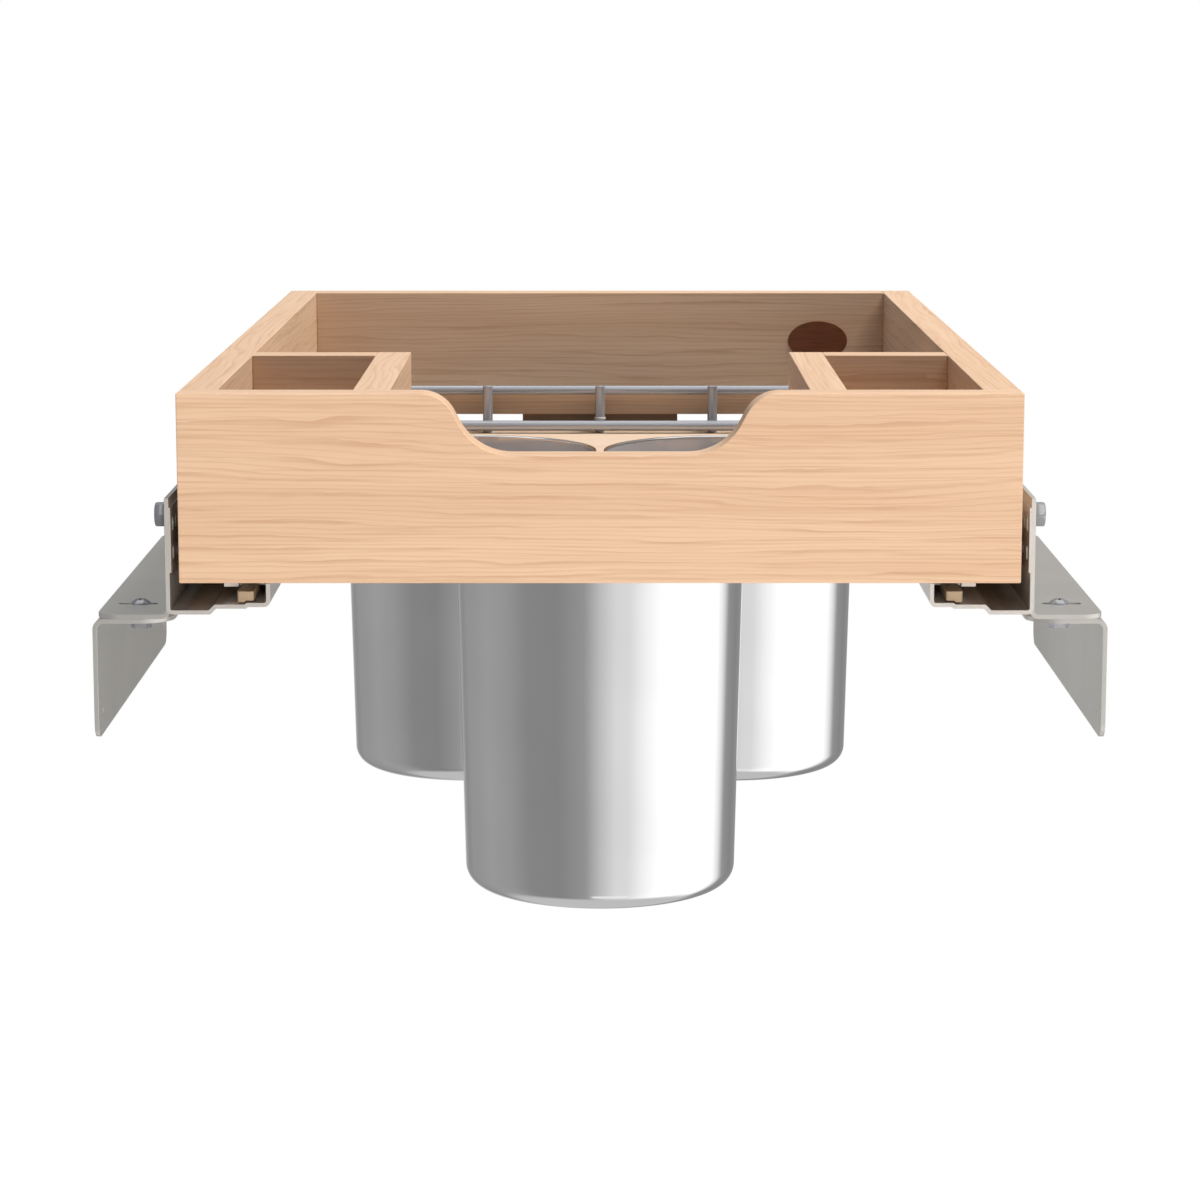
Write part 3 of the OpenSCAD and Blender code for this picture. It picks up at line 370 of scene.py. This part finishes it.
# The two axes square to each axis, in turn X, Y, Z, X
SQUARE_TO = {"x": (1, 2), "y": (2, 0), "z": (0, 1)}


def quads_of(rows, columns):
    """Faces between the neighbours of a grid: point (row, column) is row * columns + column,
    and the last column meets the first."""
    row = np.arange(rows - 1)[:, None] * columns
    column = np.arange(columns)[None, :]
    after = (column + 1) % columns
    corners = (row + column, row + after, row + columns + after, row + columns + column)
    return np.stack(corners, -1).reshape(-1, 4)


def turned(profile, origin, axis=(0, 0, 1), steps=ROUND_STEPS, radius_at=None):
    """Profile of radius and height, turned about an axis: at angle t a point lies at
    origin + height * axis + radius * (cos t * side + sin t * front). A profile that starts
    or ends on the axis is closed by a fan there. radius_at may change the radius by angle."""
    profile = np.asarray(profile, float)
    along = np.array(axis, float)
    side = np.array((0.0, 0.0, 1.0) if abs(along[0]) > 0.5 else (1.0, 0.0, 0.0))
    front = np.cross(along, side)
    angle = np.arange(steps) * 2 * pi / steps
    first = 1 if profile[0, 0] < ON_AXIS else 0
    last = len(profile) - 1 if profile[-1, 0] < ON_AXIS else len(profile)
    rim = profile[first:last]
    radius = np.repeat(rim[:, :1], steps, 1)
    if radius_at is not None:
        radius = np.minimum(radius, radius_at(angle)[None, :])
    spoke = np.cos(angle)[:, None] * side + np.sin(angle)[:, None] * front
    points = np.array(origin) + rim[:, 1, None, None] * along + radius[:, :, None] * spoke
    points = points.reshape(-1, 3)
    faces = quads_of(len(rim), steps).tolist()
    turn = np.arange(steps)
    after = (turn + 1) % steps
    if first:
        centre = len(points)
        points = np.vstack([points, np.array(origin) + profile[0, 1] * along])
        faces += np.stack([np.full(steps, centre), after, turn], 1).tolist()
    if last < len(profile):
        centre = len(points)
        base = (len(rim) - 1) * steps
        points = np.vstack([points, np.array(origin) + profile[-1, 1] * along])
        faces += np.stack([np.full(steps, centre), base + turn, base + after], 1).tolist()
    return points, faces


def inward(outline):
    """Unit mitre at each point of an anticlockwise outline, pointing into it: the sum of the
    normals of its two sides, over one plus their dot product."""
    step = np.roll(outline, -1, 0) - outline
    step /= np.linalg.norm(step, axis=1)[:, None]
    normal = np.stack([-step[:, 1], step[:, 0]], 1)
    before = np.roll(normal, 1, 0)
    return (before + normal) / (1 + (before * normal).sum(1))[:, None]


def slab(outline, low, high, across, ease):
    """Outline carried along the axis across, from low to high. Its two rims are quarter
    circles of radius ease: at turn t the outline lies ease * (1 - sin t) further in and
    ease * (1 - cos t) from the end. The other two axes follow in turn, X, Y, Z, X."""
    turn = np.linspace(0, pi / 2, EASE_STEPS + 1)
    inset = ease * (1 - np.sin(turn))
    away = ease * (1 - np.cos(turn))
    insets = np.concatenate([inset, inset[::-1]])
    levels = np.concatenate([low + away, (high - away)[::-1]])
    flat = outline[None] + insets[:, None, None] * inward(outline)[None] * RIM_SHARE
    first, second = SQUARE_TO[across]
    points = np.empty((len(levels), len(outline), 3))
    points[..., first] = flat[..., 0]
    points[..., second] = flat[..., 1]
    points[..., 3 - first - second] = levels[:, None]
    count = len(outline)
    faces = quads_of(len(levels), count).tolist()
    ends = np.arange(count)
    faces.append(ends[::-1].tolist())
    faces.append((ends + (len(levels) - 1) * count).tolist())
    return points.reshape(-1, 3), faces


def arc(centre, radius, start, stop, steps=EASE_STEPS):
    """Points at centre + radius * (cos t, sin t), for t from start to stop in degrees."""
    t = np.radians(np.linspace(start, stop, steps + 1))
    return np.array(centre) + radius * np.stack([np.cos(t), np.sin(t)], 1)


def rounded_rectangle(low, high, radius):
    """Rectangle between two corners of a plane, with quarter circles at its corners."""
    (a, b), (c, d) = low, high
    return np.vstack([
        arc((c - radius, b + radius), radius, -90, 0),
        arc((c - radius, d - radius), radius, 0, 90),
        arc((a + radius, d - radius), radius, 90, 180),
        arc((a + radius, b + radius), radius, 180, 270),
    ])


def piece(name, skins, node, finish, weighted=True, inside=None):
    """One mesh object of one or more skins, in place of a CAD node and on that node's body.
    inside holds a second finish and says of each face whether that finish covers it."""
    points, faces, start = [], [], 0
    for skin_points, skin_faces in skins:
        points.append(skin_points)
        faces += [[corner + start for corner in face] for face in skin_faces]
        start += len(skin_points)
    mesh = bpy.data.meshes.new(name)
    mesh.from_pydata(np.vstack(points).tolist(), [], faces)
    mesh.shade_smooth()
    mesh.materials.append(finish)
    if inside:
        mesh.materials.append(inside[0])
        mesh.polygons.foreach_set("material_index", inside[1].astype(np.int32))
    made = bpy.data.objects.new(name, mesh)
    bpy.context.scene.collection.objects.link(made)
    if weighted:
        made.modifiers.new("weighted_normals", "WEIGHTED_NORMAL").weight = 100
    take_place(made, node)


def take_place(made, node):
    """The new piece rides on the CAD node's body and replaces the node, which is hidden."""
    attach(made, frame["nodes"][node]["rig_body"])
    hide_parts(node)


# Boards

BOARD_EASE = 0.5 * MM
# Where the first board lies in the figured wood, and the step from each board to the next
GRAIN_START = (0.2, 0.11, 0.0)
GRAIN_STEP = (0.37, 0.23, 0.19)
FRONT_GRAIN = (0.13, 0.4, 0.21)
# Share of painted shade on the block under the rear strip, whose front stands in deep shadow
BLOCK_PAINTED_SHADE = 0.7


def board_skin(node, across):
    """Board with eased edges, between the corners of its CAD node."""
    ease = BOARD_EASE
    low, high = (np.array(corner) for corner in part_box(node))
    first, second = SQUARE_TO[across]
    axis = 3 - first - second
    outline = rounded_rectangle(low[[first, second]], high[[first, second]], ease)
    return slab(outline, low[axis], high[axis], across, ease)


def board(node, across, grain, shift, painted_shade=0.0):
    """A board whose thickness lies along across and whose grain runs along grain. Its last
    argument is a share of painted shade, a dark grey mixed into its tone.
    """
    finish = maple(node + "_maple", grain, shift, painted_shade)
    piece(node + "_eased", [board_skin(node, across)], node, finish)


SCOOP_DEPTH = 26.4 * MM
SCOOP_FLAT = 75 * MM
SHOULDER = 16 * MM
HOLLOW = 25 * MM
SCOOP_SLOPE = 62
HOLLOW_STEPS = 14
SHOULDER_STEPS = 12


def scoop_side(top):
    """Right half of the scoop, from the flat outwards: an arc that hollows, a straight at
    SCOOP_SLOPE and an arc that rounds the shoulder. Points are X and height."""
    slope = radians(SCOOP_SLOPE)
    floor = top - SCOOP_DEPTH
    straight = SCOOP_DEPTH - (SHOULDER + HOLLOW) * (1 - cos(slope))
    shoulder_x = SCOOP_FLAT / 2 + (SHOULDER + HOLLOW) * sin(slope) + straight / tan(slope)
    hollow = arc((SCOOP_FLAT / 2, floor + HOLLOW), HOLLOW, -90, -90 + SCOOP_SLOPE,
                 HOLLOW_STEPS)
    shoulder = arc((shoulder_x, top - SHOULDER), SHOULDER, 90 + SCOOP_SLOPE, 90,
                   SHOULDER_STEPS)
    return np.vstack([hollow, shoulder])


def front_board():
    """Front panel: its outline holds the scoop, and is carried through its thickness."""
    low, high = (np.array(corner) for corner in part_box("front_panel"))
    right = scoop_side(high[2])
    left = right[::-1] * (-1, 1)
    ease = BOARD_EASE
    outline = np.vstack([
        arc((high[0] - ease, low[2] + ease), ease, -90, 0),
        arc((high[0] - ease, high[2] - ease), ease, 0, 90),
        right[::-1],
        left[::-1],
        arc((low[0] + ease, high[2] - ease), ease, 90, 180),
        arc((low[0] + ease, low[2] + ease), ease, 180, 270),
    ])
    skin = slab(outline[::-1, ::-1], low[1], high[1], "y", ease)
    finish = maple("front_panel_maple", "x", FRONT_GRAIN)
    piece("front_panel_eased", [skin], "front_panel", finish)


front_board()
for place, (node, across, grain, painted_shade) in enumerate([
    ("left_side_panel", "x", "y", 0.0),
    ("right_side_panel", "x", "y", 0.0),
    ("back_panel", "y", "x", 0.0),
    ("left_divider", "x", "y", 0.0),
    ("right_divider", "x", "y", 0.0),
    ("left_cross_board", "y", "x", 0.0),
    ("right_cross_board", "y", "x", 0.0),
    ("rear_cross_strip", "y", "x", 0.0),
    # The block's darker tone is painted shade
    ("strip_support_block", "y", "x", BLOCK_PAINTED_SHADE),
]):
    shift = tuple(step * place + start for step, start in zip(GRAIN_STEP, GRAIN_START))
    board(node, across, grain, shift, painted_shade)


DISC_EASE = 0.25 * MM
DISC_STEPS = 96


def disc():
    """Plain oval disc on the back panel, with an eased rim."""
    low, high = (np.array(corner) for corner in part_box("oval_badge"))
    centre = (low + high) / 2
    half = (high - low) / 2
    t = np.linspace(0, 2 * pi, DISC_STEPS, endpoint=False)
    outline = np.stack([centre[2] + half[2] * np.cos(t), centre[0] + half[0] * np.sin(t)], 1)
    skin = slab(outline, low[1], high[1], "y", DISC_EASE)
    piece("oval_badge_eased", [skin], "oval_badge", DISC)


disc()


# Canisters

CANISTER_WALL = 0.8 * MM
LIP = 1.5 * MM
LIP_BEND = 1.2 * MM
BASE_EDGE = 9 * MM
BASE_RISE = 2 * MM
BASE_RADIUS = 61.6 * MM
CANISTER_STEPS = 192
DISH_POINTS = 14
WALL_POINTS = 12
EDGE_STEPS = 14
LIP_STEPS = 10
BEND_STEPS = 6


def canister(node):
    """Drawn canister turned about its own axis. The profile runs from the dished middle of
    the base outwards, round the base's edge, up the leaning wall, round the lip that turns
    out, and down the inside to the middle again."""
    low, high = (np.array(corner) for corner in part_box(node))
    rim = (high[0] - low[0]) / 2
    mouth = rim - LIP
    half = CANISTER_WALL / 2
    under = high[2] - CANISTER_WALL
    flat = BASE_RADIUS - BASE_EDGE
    share = np.linspace(0, 1, DISH_POINTS)
    dish = np.stack([share * flat, low[2] + BASE_RISE * (1 + np.cos(pi * share)) / 2], 1)
    edge = arc((flat, low[2] + BASE_EDGE), BASE_EDGE, -90, 0, EDGE_STEPS)
    neck = arc((mouth + half, under - half), half, 180, 90)
    lip = arc((rim - half, under + half), half, -90, 90, LIP_STEPS)
    shoulder = mouth - CANISTER_WALL + LIP_BEND
    bend = arc((shoulder, high[2] - LIP_BEND), LIP_BEND, 90, 180, BEND_STEPS)
    climb = np.linspace(edge[-1], neck[0], WALL_POINTS)[1:-1]
    inner_edge = arc((flat, low[2] + BASE_EDGE), BASE_EDGE - CANISTER_WALL, 0, -90, EDGE_STEPS)
    descent = np.linspace(bend[-1], inner_edge[0], WALL_POINTS)[1:-1]
    inner_dish = dish[::-1] + (0, CANISTER_WALL)
    outer = np.vstack([dish, edge[1:], climb, neck, lip, bend[1:]])
    profile = np.vstack([outer, descent, inner_edge, inner_dish[1:]])
    centre = ((low[0] + high[0]) / 2, (low[1] + high[1]) / 2, 0)
    skin = turned(profile, centre, steps=CANISTER_STEPS)
    # Faces go round ring by ring. The fans of the base's middle come last, the one under it first
    ring = np.arange(len(skin[1])) // CANISTER_STEPS
    first_inside = len(outer) - 2
    fan_under = len(profile) - 3
    within = (ring >= first_inside) & (ring != fan_under)
    piece(node + "_polished", [skin], node, STAINLESS, weighted=False,
          inside=(STAINLESS_INSIDE, within))


for node in ("front_canister", "left_canister", "right_canister"):
    canister(node)


# Gallery

ROD_EASE = 0.6 * MM
RAIL_STEPS = 64
POST_PITCH = 62 * MM
POST_PLACES = [turn * POST_PITCH for turn in range(-2, 3)]
COLLAR_EASE = 0.3 * MM


def rod_profile(radius, length, ease):
    """Closed rod from 0 to length, with quarter circles at its ends."""
    return np.vstack([
        [[0, 0]],
        arc((radius - ease, ease), ease, -90, 0),
        arc((radius - ease, length - ease), ease, 0, 90),
        [[0, length]],
    ])


def gallery_rail(node):
    """Straight rail along X, between the ends of its CAD node."""
    low, high = (np.array(corner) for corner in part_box(node))
    radius = (high[2] - low[2]) / 2
    middle = (low + high) / 2
    profile = rod_profile(radius, high[0] - low[0], ROD_EASE)
    skin = turned(profile, (low[0], middle[1], middle[2]), (1, 0, 0), RAIL_STEPS)
    piece(node + "_plated", [skin], node, CHROME)


gallery_rail("gallery_top_rail")
gallery_rail("gallery_lower_rail")


def gallery_posts():
    """Posts from the shelf to just above the upper rail."""
    low, high = (np.array(corner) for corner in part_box("gallery_posts"))
    radius = (high[1] - low[1]) / 2
    profile = rod_profile(radius, high[2] - low[2], ROD_EASE)
    middle = (low[1] + high[1]) / 2
    skins = [turned(profile, (x, middle, low[2])) for x in POST_PLACES]
    piece("gallery_posts_plated", skins, "gallery_posts", CHROME)


def post_collar():
    """Ring round the middle post, with a rounded outer edge."""
    low, high = (np.array(corner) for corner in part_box("post_collars"))
    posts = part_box("gallery_posts")
    outer = (high[1] - low[1]) / 2
    inner = (posts[1][1] - posts[0][1]) / 2
    height = high[2] - low[2]
    ease = COLLAR_EASE
    profile = np.vstack([
        [[inner, 0]],
        arc((outer - ease, ease), ease, -90, 0),
        arc((outer - ease, height - ease), ease, 0, 90),
        [[inner, height], [inner, 0]],
    ])
    middle = (low[1] + high[1]) / 2
    skin = turned(profile, (0, middle, low[2]))
    piece("post_collar_moulded", [skin], "post_collars", WHITE_PLASTIC)


gallery_posts()
post_collar()


# Bolts and screws through the channels' walls

BOLT_FLATS = 10 * MM
BOLT_HEAD = 6.5 * MM
BOLT_ROUND = 1.6 * MM
BOLT_SHANK = 6 * MM
BOLT_EASE = 0.4 * MM
NUT_STEP = 1.6 * MM
# Radius of a bolt head's corners over half its flats, which would be 1.155 if they were sharp
CORNER_REACH = 1.14
CROWN_STEPS = 10
HEAD_STEPS = 96
BUTTON_HEAD = 1.8 * MM
BUTTON_SHANK = 4 * MM
BUTTON_EASE = 0.3 * MM
BUTTON_SEAT = 2.6 * MM
CAP_POINTS = 10


def hexagon(flats):
    """Radius of a hexagon by angle: half its flats over the cosine of the angle from the
    nearest flat's middle, with its corners a little rounded off."""
    def radius(angle):
        sixth = pi / 3
        off = np.mod(angle + sixth / 2, sixth) - sixth / 2
        return np.minimum(flats / 2 / np.cos(off), flats / 2 * CORNER_REACH)
    return radius


def channel_bolts():
    """Hexagon bolts: a shank, and a head whose end is chamfered to a low dome."""
    low, high = (np.array(corner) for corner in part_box("channel_bolts"))
    height = (low[2] + high[2]) / 2
    corner = BOLT_FLATS / 2 / cos(pi / 6)
    seat = high[0] - BOLT_HEAD
    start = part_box("channel_nuts")[1][0] - NUT_STEP
    shank = rod_profile(BOLT_SHANK / 2, seat - start, BOLT_EASE)
    crown = np.vstack([
        [[0, 0], [corner, 0]],
        arc((corner - BOLT_ROUND, BOLT_HEAD - BOLT_ROUND), BOLT_ROUND, 0, 90, CROWN_STEPS),
        [[0, BOLT_HEAD]],
    ])
    skins = []
    for side in (-1, 1):
        axis = (side, 0, 0)
        for y in (low[1] + corner, high[1] - corner):
            skins.append(turned(shank, (side * start, y, height), axis))
            skins.append(turned(crown, (side * seat, y, height), axis, HEAD_STEPS,
                                hexagon(BOLT_FLATS)))
    piece("channel_bolts_plated", skins, "channel_bolts", FASTENER)


def channel_screws():
    """Button-head screws: a shank through the channel's wall, and a head towards the box
    that is a cap of a sphere."""
    low, high = (np.array(corner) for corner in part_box("channel_screws"))
    middle = (low + high) / 2
    head = (high[2] - low[2]) / 2
    sphere = (head ** 2 + BUTTON_HEAD ** 2) / (2 * BUTTON_HEAD)
    share = np.linspace(1, 0, CAP_POINTS)
    cap = np.stack([share * head, np.sqrt(sphere ** 2 - (share * head) ** 2)], 1)
    cap[:, 1] += BUTTON_HEAD - sphere
    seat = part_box("right_cabinet_channel")[1][0] - BUTTON_SEAT
    shank = rod_profile(BUTTON_SHANK / 2, high[0] - seat, BUTTON_EASE)
    crown = np.vstack([[[0, 0]], cap])
    skins = []
    for side in (-1, 1):
        place = (side * seat, middle[1], middle[2])
        skins.append(turned(shank, place, (side, 0, 0)))
        skins.append(turned(crown, place, (-side, 0, 0)))
    piece("channel_screws_plated", skins, "channel_screws", FASTENER)


channel_bolts()
channel_screws()


# Folded, moulded and small pieces

MERGE_WITHIN = 0.002 * MM
FLAT_WITHIN = radians(0.6)
SHARP_TURN = radians(33)
BEVEL_STEPS = 2


def softened(node, ending, finish, width):
    """Copy of a folded or moulded CAD piece: its doubled points are merged, its flat faces
    made whole, its bends shaded smooth and its sharp edges rounded to the given width."""
    mesh = frame["nodes"][node].data.copy()
    mesh.name = f"{node}_{ending}"
    work = bmesh.new()
    work.from_mesh(mesh)
    bmesh.ops.remove_doubles(work, verts=work.verts, dist=MERGE_WITHIN)
    bmesh.ops.dissolve_limit(work, angle_limit=FLAT_WITHIN, verts=work.verts, edges=work.edges)
    work.to_mesh(mesh)
    work.free()
    mesh.materials.clear()
    mesh.materials.append(finish)
    mesh.shade_smooth()
    mesh.set_sharp_from_angle(angle=SHARP_TURN)
    made = bpy.data.objects.new(mesh.name, mesh)
    bpy.context.scene.collection.objects.link(made)
    bevel = made.modifiers.new("eased_edges", "BEVEL")
    bevel.width = width
    bevel.segments = BEVEL_STEPS
    bevel.limit_method = "ANGLE"
    bevel.angle_limit = SHARP_TURN
    bevel.harden_normals = True
    take_place(made, node)
    return made


for side in ("left", "right"):
    softened(side + "_cabinet_channel", "folded", ZINC, 0.25 * MM)
    softened(side + "_upper_bracket", "folded", BRACKET_STEEL, 0.3 * MM)
    flange = softened(side + "_lower_bracket", "folded", BRACKET_STEEL, 0.3 * MM)
    # The photograph's canisters mirror the studio alone, not these flanges
    flange.visible_glossy = False
    softened(side + "_middle_rail", "rolled", ZINC, 0.2 * MM)
    softened(side + "_drawer_runner", "rolled", ZINC, 0.2 * MM)
    softened(side + "_locking_device", "moulded", WHITE_PLASTIC, 0.3 * MM)
    softened(side + "_release_lever", "moulded", GREY_PLASTIC, 0.3 * MM)
    softened(side + "_rail_bumper", "moulded", ALMOND_NYLON, 0.3 * MM)
    softened(side + "_soft_close_unit", "moulded", GREY_PLASTIC, 0.4 * MM)
softened("bracket_screws", "plated", FASTENER, 0.12 * MM)
softened("bracket_nuts", "plated", FASTENER, 0.2 * MM)
softened("channel_nuts", "plated", FASTENER, 0.15 * MM)
softened("locking_device_screws", "plated", FASTENER, 0.15 * MM)


# CAD nodes that keep their own mesh

def dressed(node, finish):
    """Gives a CAD node that stays in view its finish."""
    data = frame["nodes"][node].data
    data.materials.clear()
    data.materials.append(finish)


dressed("canister_shelf", PLYWOOD)
dressed("box_dowels", DOWEL)
for side in ("left", "right"):
    dressed(side + "_rollers", WHITE_PLASTIC)
    dressed(side + "_roller_cages", GREY_PLASTIC)


# Studio

# What the two lamps are turned to, at the shelf's height: the front canister, and the middle of
# the box, which the floor is centred under
CANISTER_AIM = (0.0, 0.0, 0.05)
BOX_AIM = (0.0, 0.14, 0.05)
FLOOR_LEVEL = -0.95
FLOOR_RADIUS = 2.9
FLOOR_STEPS = 64
FLOOR_GREY = (0.9, 0.9, 0.9, 1.0)
FLOOR_GLOW = 0.55
# Distances from the origin between which the floor turns clear
FLOOR_FADE = (1.2, 2.4)
WALL_RADIUS = 3.0
DOME_FOOT = -0.93
DOME_STEPS = 128
DOME_RINGS = 14
WHITE = (1.0, 1.0, 1.0, 1.0)
FILL = (0.78, 0.98, 1.28, 1.0)
FILL_LEVEL = 0.22


def rays_that_look(finish):
    """One for camera, glossy and transmission rays, and zero for the light that a
    diffuse surface gathers."""
    looks = [finish.add("LightPath", {}, {}, name)
             for name in ("Is Camera Ray", "Is Glossy Ray", "Is Transmission Ray")]
    return looks[0] + looks[1] + looks[2]


def world():
    """White to the eye and in reflections, and a soft even fill for diffuse light."""
    made = bpy.data.worlds.new("studio_world")
    made.use_nodes = True
    bpy.context.scene.world = made
    finish = Finish("studio_world", made.node_tree)
    seen = finish.add("Background", {}, {"Color": WHITE, "Strength": 1.0})
    fill = finish.add("Background", {}, {"Color": FILL, "Strength": FILL_LEVEL})
    share = finish.add("Math", {"operation": "MINIMUM"}, {0: rays_that_look(finish), 1: 1.0})
    mixed = finish.add("MixShader", {}, {0: share, 1: fill, 2: seen})
    finish.add("OutputWorld", {}, {"Surface": mixed})


def floor():
    """Pale floor that keeps the object's shadow and fades into the white backdrop."""
    centre = (BOX_AIM[0], BOX_AIM[1], FLOOR_LEVEL)
    points, faces = turned([[0, 0], [FLOOR_RADIUS, 0]], centre, steps=FLOOR_STEPS)
    faces = [face[::-1] for face in faces]
    mesh = bpy.data.meshes.new("studio_floor")
    mesh.from_pydata(points.tolist(), [], faces)
    made = bpy.data.objects.new("studio_floor", mesh)
    finish = Finish("studio_floor")
    place = finish.object_place()
    away = finish.add("VectorMath", {"operation": "LENGTH"}, {0: place}, 1)
    fade = finish.band(away, *FLOOR_FADE)
    matt = finish.add("BsdfDiffuse", {}, {"Color": FLOOR_GREY})
    seen = rays_that_look(finish) * FLOOR_GLOW
    glow = finish.add("Emission", {}, {"Color": WHITE, "Strength": seen})
    lit = finish.add("AddShader", {}, {0: matt, 1: glow})
    clear = finish.add("BsdfTransparent", {}, {"Color": WHITE})
    mesh.materials.append(finish.close(finish.add("MixShader", {}, {0: fade, 1: lit, 2: clear})))
    bpy.context.scene.collection.objects.link(made)


# Brightness of the studio round the object's height, by direction: 0 is straight behind the
# object, a quarter its left, a half the camera and three quarters its right
WALL_LEVELS = [
    (0.00, 0.45), (0.025, 0.60), (0.055, 0.38), (0.085, 0.29), (0.12, 0.35), (0.15, 0.36),
    (0.21, 0.40), (0.275, 0.365), (0.333, 0.285), (0.403, 0.275), (0.467, 0.36), (0.50, 0.62),
    (0.535, 0.84), (0.565, 0.86), (0.60, 1.1), (0.65, 1.35), (0.80, 1.35), (0.83, 0.9),
    (0.852, 0.34), (0.90, 0.27), (0.96, 0.32), (0.985, 0.38), (1.00, 0.45),
]
# Brightness of the ceiling, the foot and the overhead screen
CEILING_LEVEL = 0.37
FOOT_LEVEL = 0.62
OVERHEAD_LEVEL = 1.3
# Where each of these fades in, in degrees above the level, and below it for the foot. The
# overhead screen also starts between two places along Y
CEILING_FADE = (-8.0, 8.0)
FOOT_FADE = (46.0, 60.0)
OVERHEAD_FADE = (46.0, 54.0)
OVERHEAD_START = (-0.5, -0.2)
# Two bright cards in front. Each has a middle and a half width by direction, and a lower edge,
# an upper edge and the soft width of both in degrees above the level
HIGH_CARD = {"middle": 0.553, "half": 0.07, "low": 44.0, "high": 62.0, "soft": 4.0}
LOW_CARD = {"middle": 0.525, "half": 0.05, "low": -50.0, "high": -30.0, "soft": 8.0}
HIGH_CARD_LEVEL = 1.5
LOW_CARD_LEVEL = 1.0
CARD_SIDE_SOFT = 0.01


def studio_dome():
    """Closed room of soft screens that only polished metal sees. Round the object's height its
    brightness follows the direction; it fades into an even ceiling above and a foot below,
    each with one bright card in front."""
    height = np.radians(np.linspace(0, 90, DOME_RINGS))
    profile = np.stack([WALL_RADIUS * np.cos(height), WALL_RADIUS * np.sin(height)], 1)
    foot = [[0, DOME_FOOT], [WALL_RADIUS, DOME_FOOT]]
    points, faces = turned(np.vstack([foot, profile[:-1], [[0, WALL_RADIUS]]]), (0, 0, 0),
                           steps=DOME_STEPS)
    mesh = bpy.data.meshes.new("studio_dome")
    mesh.from_pydata(points.tolist(), [], [face[::-1] for face in faces])
    made = bpy.data.objects.new("studio_dome", mesh)
    finish = Finish("studio_dome")
    place = finish.object_place()
    x, y, z = (finish.add("SeparateXYZ", {}, {"Vector": place}, axis) for axis in range(3))
    around = finish.add("Math", {"operation": "ARCTAN2"}, {0: -1.0 * x, 1: y}) / (2 * pi)
    around = finish.add("Math", {"operation": "FRACT"}, {0: around + 1.0})
    out = finish.add("Math", {"operation": "SQRT"}, {0: x * x + y * y})
    climb = finish.add("Math", {"operation": "ARCTAN2"}, {0: z, 1: out}) * (180 / pi)
    peak = max(level for _, level in WALL_LEVELS)

    def even(level):
        """Grey that shines at level once the strength is peak."""
        return (level / peak,) * 3 + (1.0,)

    def card(middle, half, low, high, soft):
        """One on the card and zero off it."""
        aside = finish.add("Math", {"operation": "ABSOLUTE"}, {0: around - middle})
        share = finish.band(0.0 - aside, -half, CARD_SIDE_SOFT - half)
        share = share * finish.band(climb, low, low + soft)
        return share * finish.band(0.0 - climb, -high, soft - high)

    stops = [(share, even(level)) for share, level in WALL_LEVELS]
    level = finish.add("ValToRGB", {"stops": stops}, {"Fac": around})
    level = finish.blend(finish.band(climb, *CEILING_FADE), level, even(CEILING_LEVEL))
    level = finish.blend(finish.band(0.0 - climb, *FOOT_FADE), level, even(FOOT_LEVEL))
    overhead = finish.band(climb, *OVERHEAD_FADE) * finish.band(y, *OVERHEAD_START)
    level = finish.blend(overhead, level, even(OVERHEAD_LEVEL))
    level = finish.blend(card(**HIGH_CARD), level, even(HIGH_CARD_LEVEL))
    level = finish.blend(card(**LOW_CARD), level, even(LOW_CARD_LEVEL))
    glow = finish.add("Emission", {}, {"Color": level, "Strength": peak})
    mesh.materials.append(finish.close(glow))
    made.visible_camera = False
    made.visible_diffuse = False
    made.visible_shadow = False
    bpy.context.scene.collection.objects.link(made)


def soft_light(name, place, target, width, height, power, colour):
    """Rectangular soft light that looks at target and isn't seen in reflections."""
    data = bpy.data.lights.new(name, "AREA")
    data.shape = "RECTANGLE"
    data.size = width
    data.size_y = height
    data.energy = power
    data.color = colour
    made = bpy.data.objects.new(name, data)
    made.location = place
    made.rotation_euler = (Vector(target) - Vector(place)).to_track_quat("-Z", "Y").to_euler()
    made.visible_glossy = False
    bpy.context.scene.collection.objects.link(made)


world()
floor()
studio_dome()
soft_light("front_light", place=(0.5, -2.9, -0.22), target=CANISTER_AIM,
           width=1.6, height=0.7, power=78, colour=(1.0, 0.89, 0.80))
soft_light("top_light", place=(1.71, 0.07, 3.74), target=BOX_AIM,
           width=1.8, height=1.8, power=243, colour=(1.0, 0.94, 0.895))
bpy.context.scene.view_settings.view_transform = "Standard"
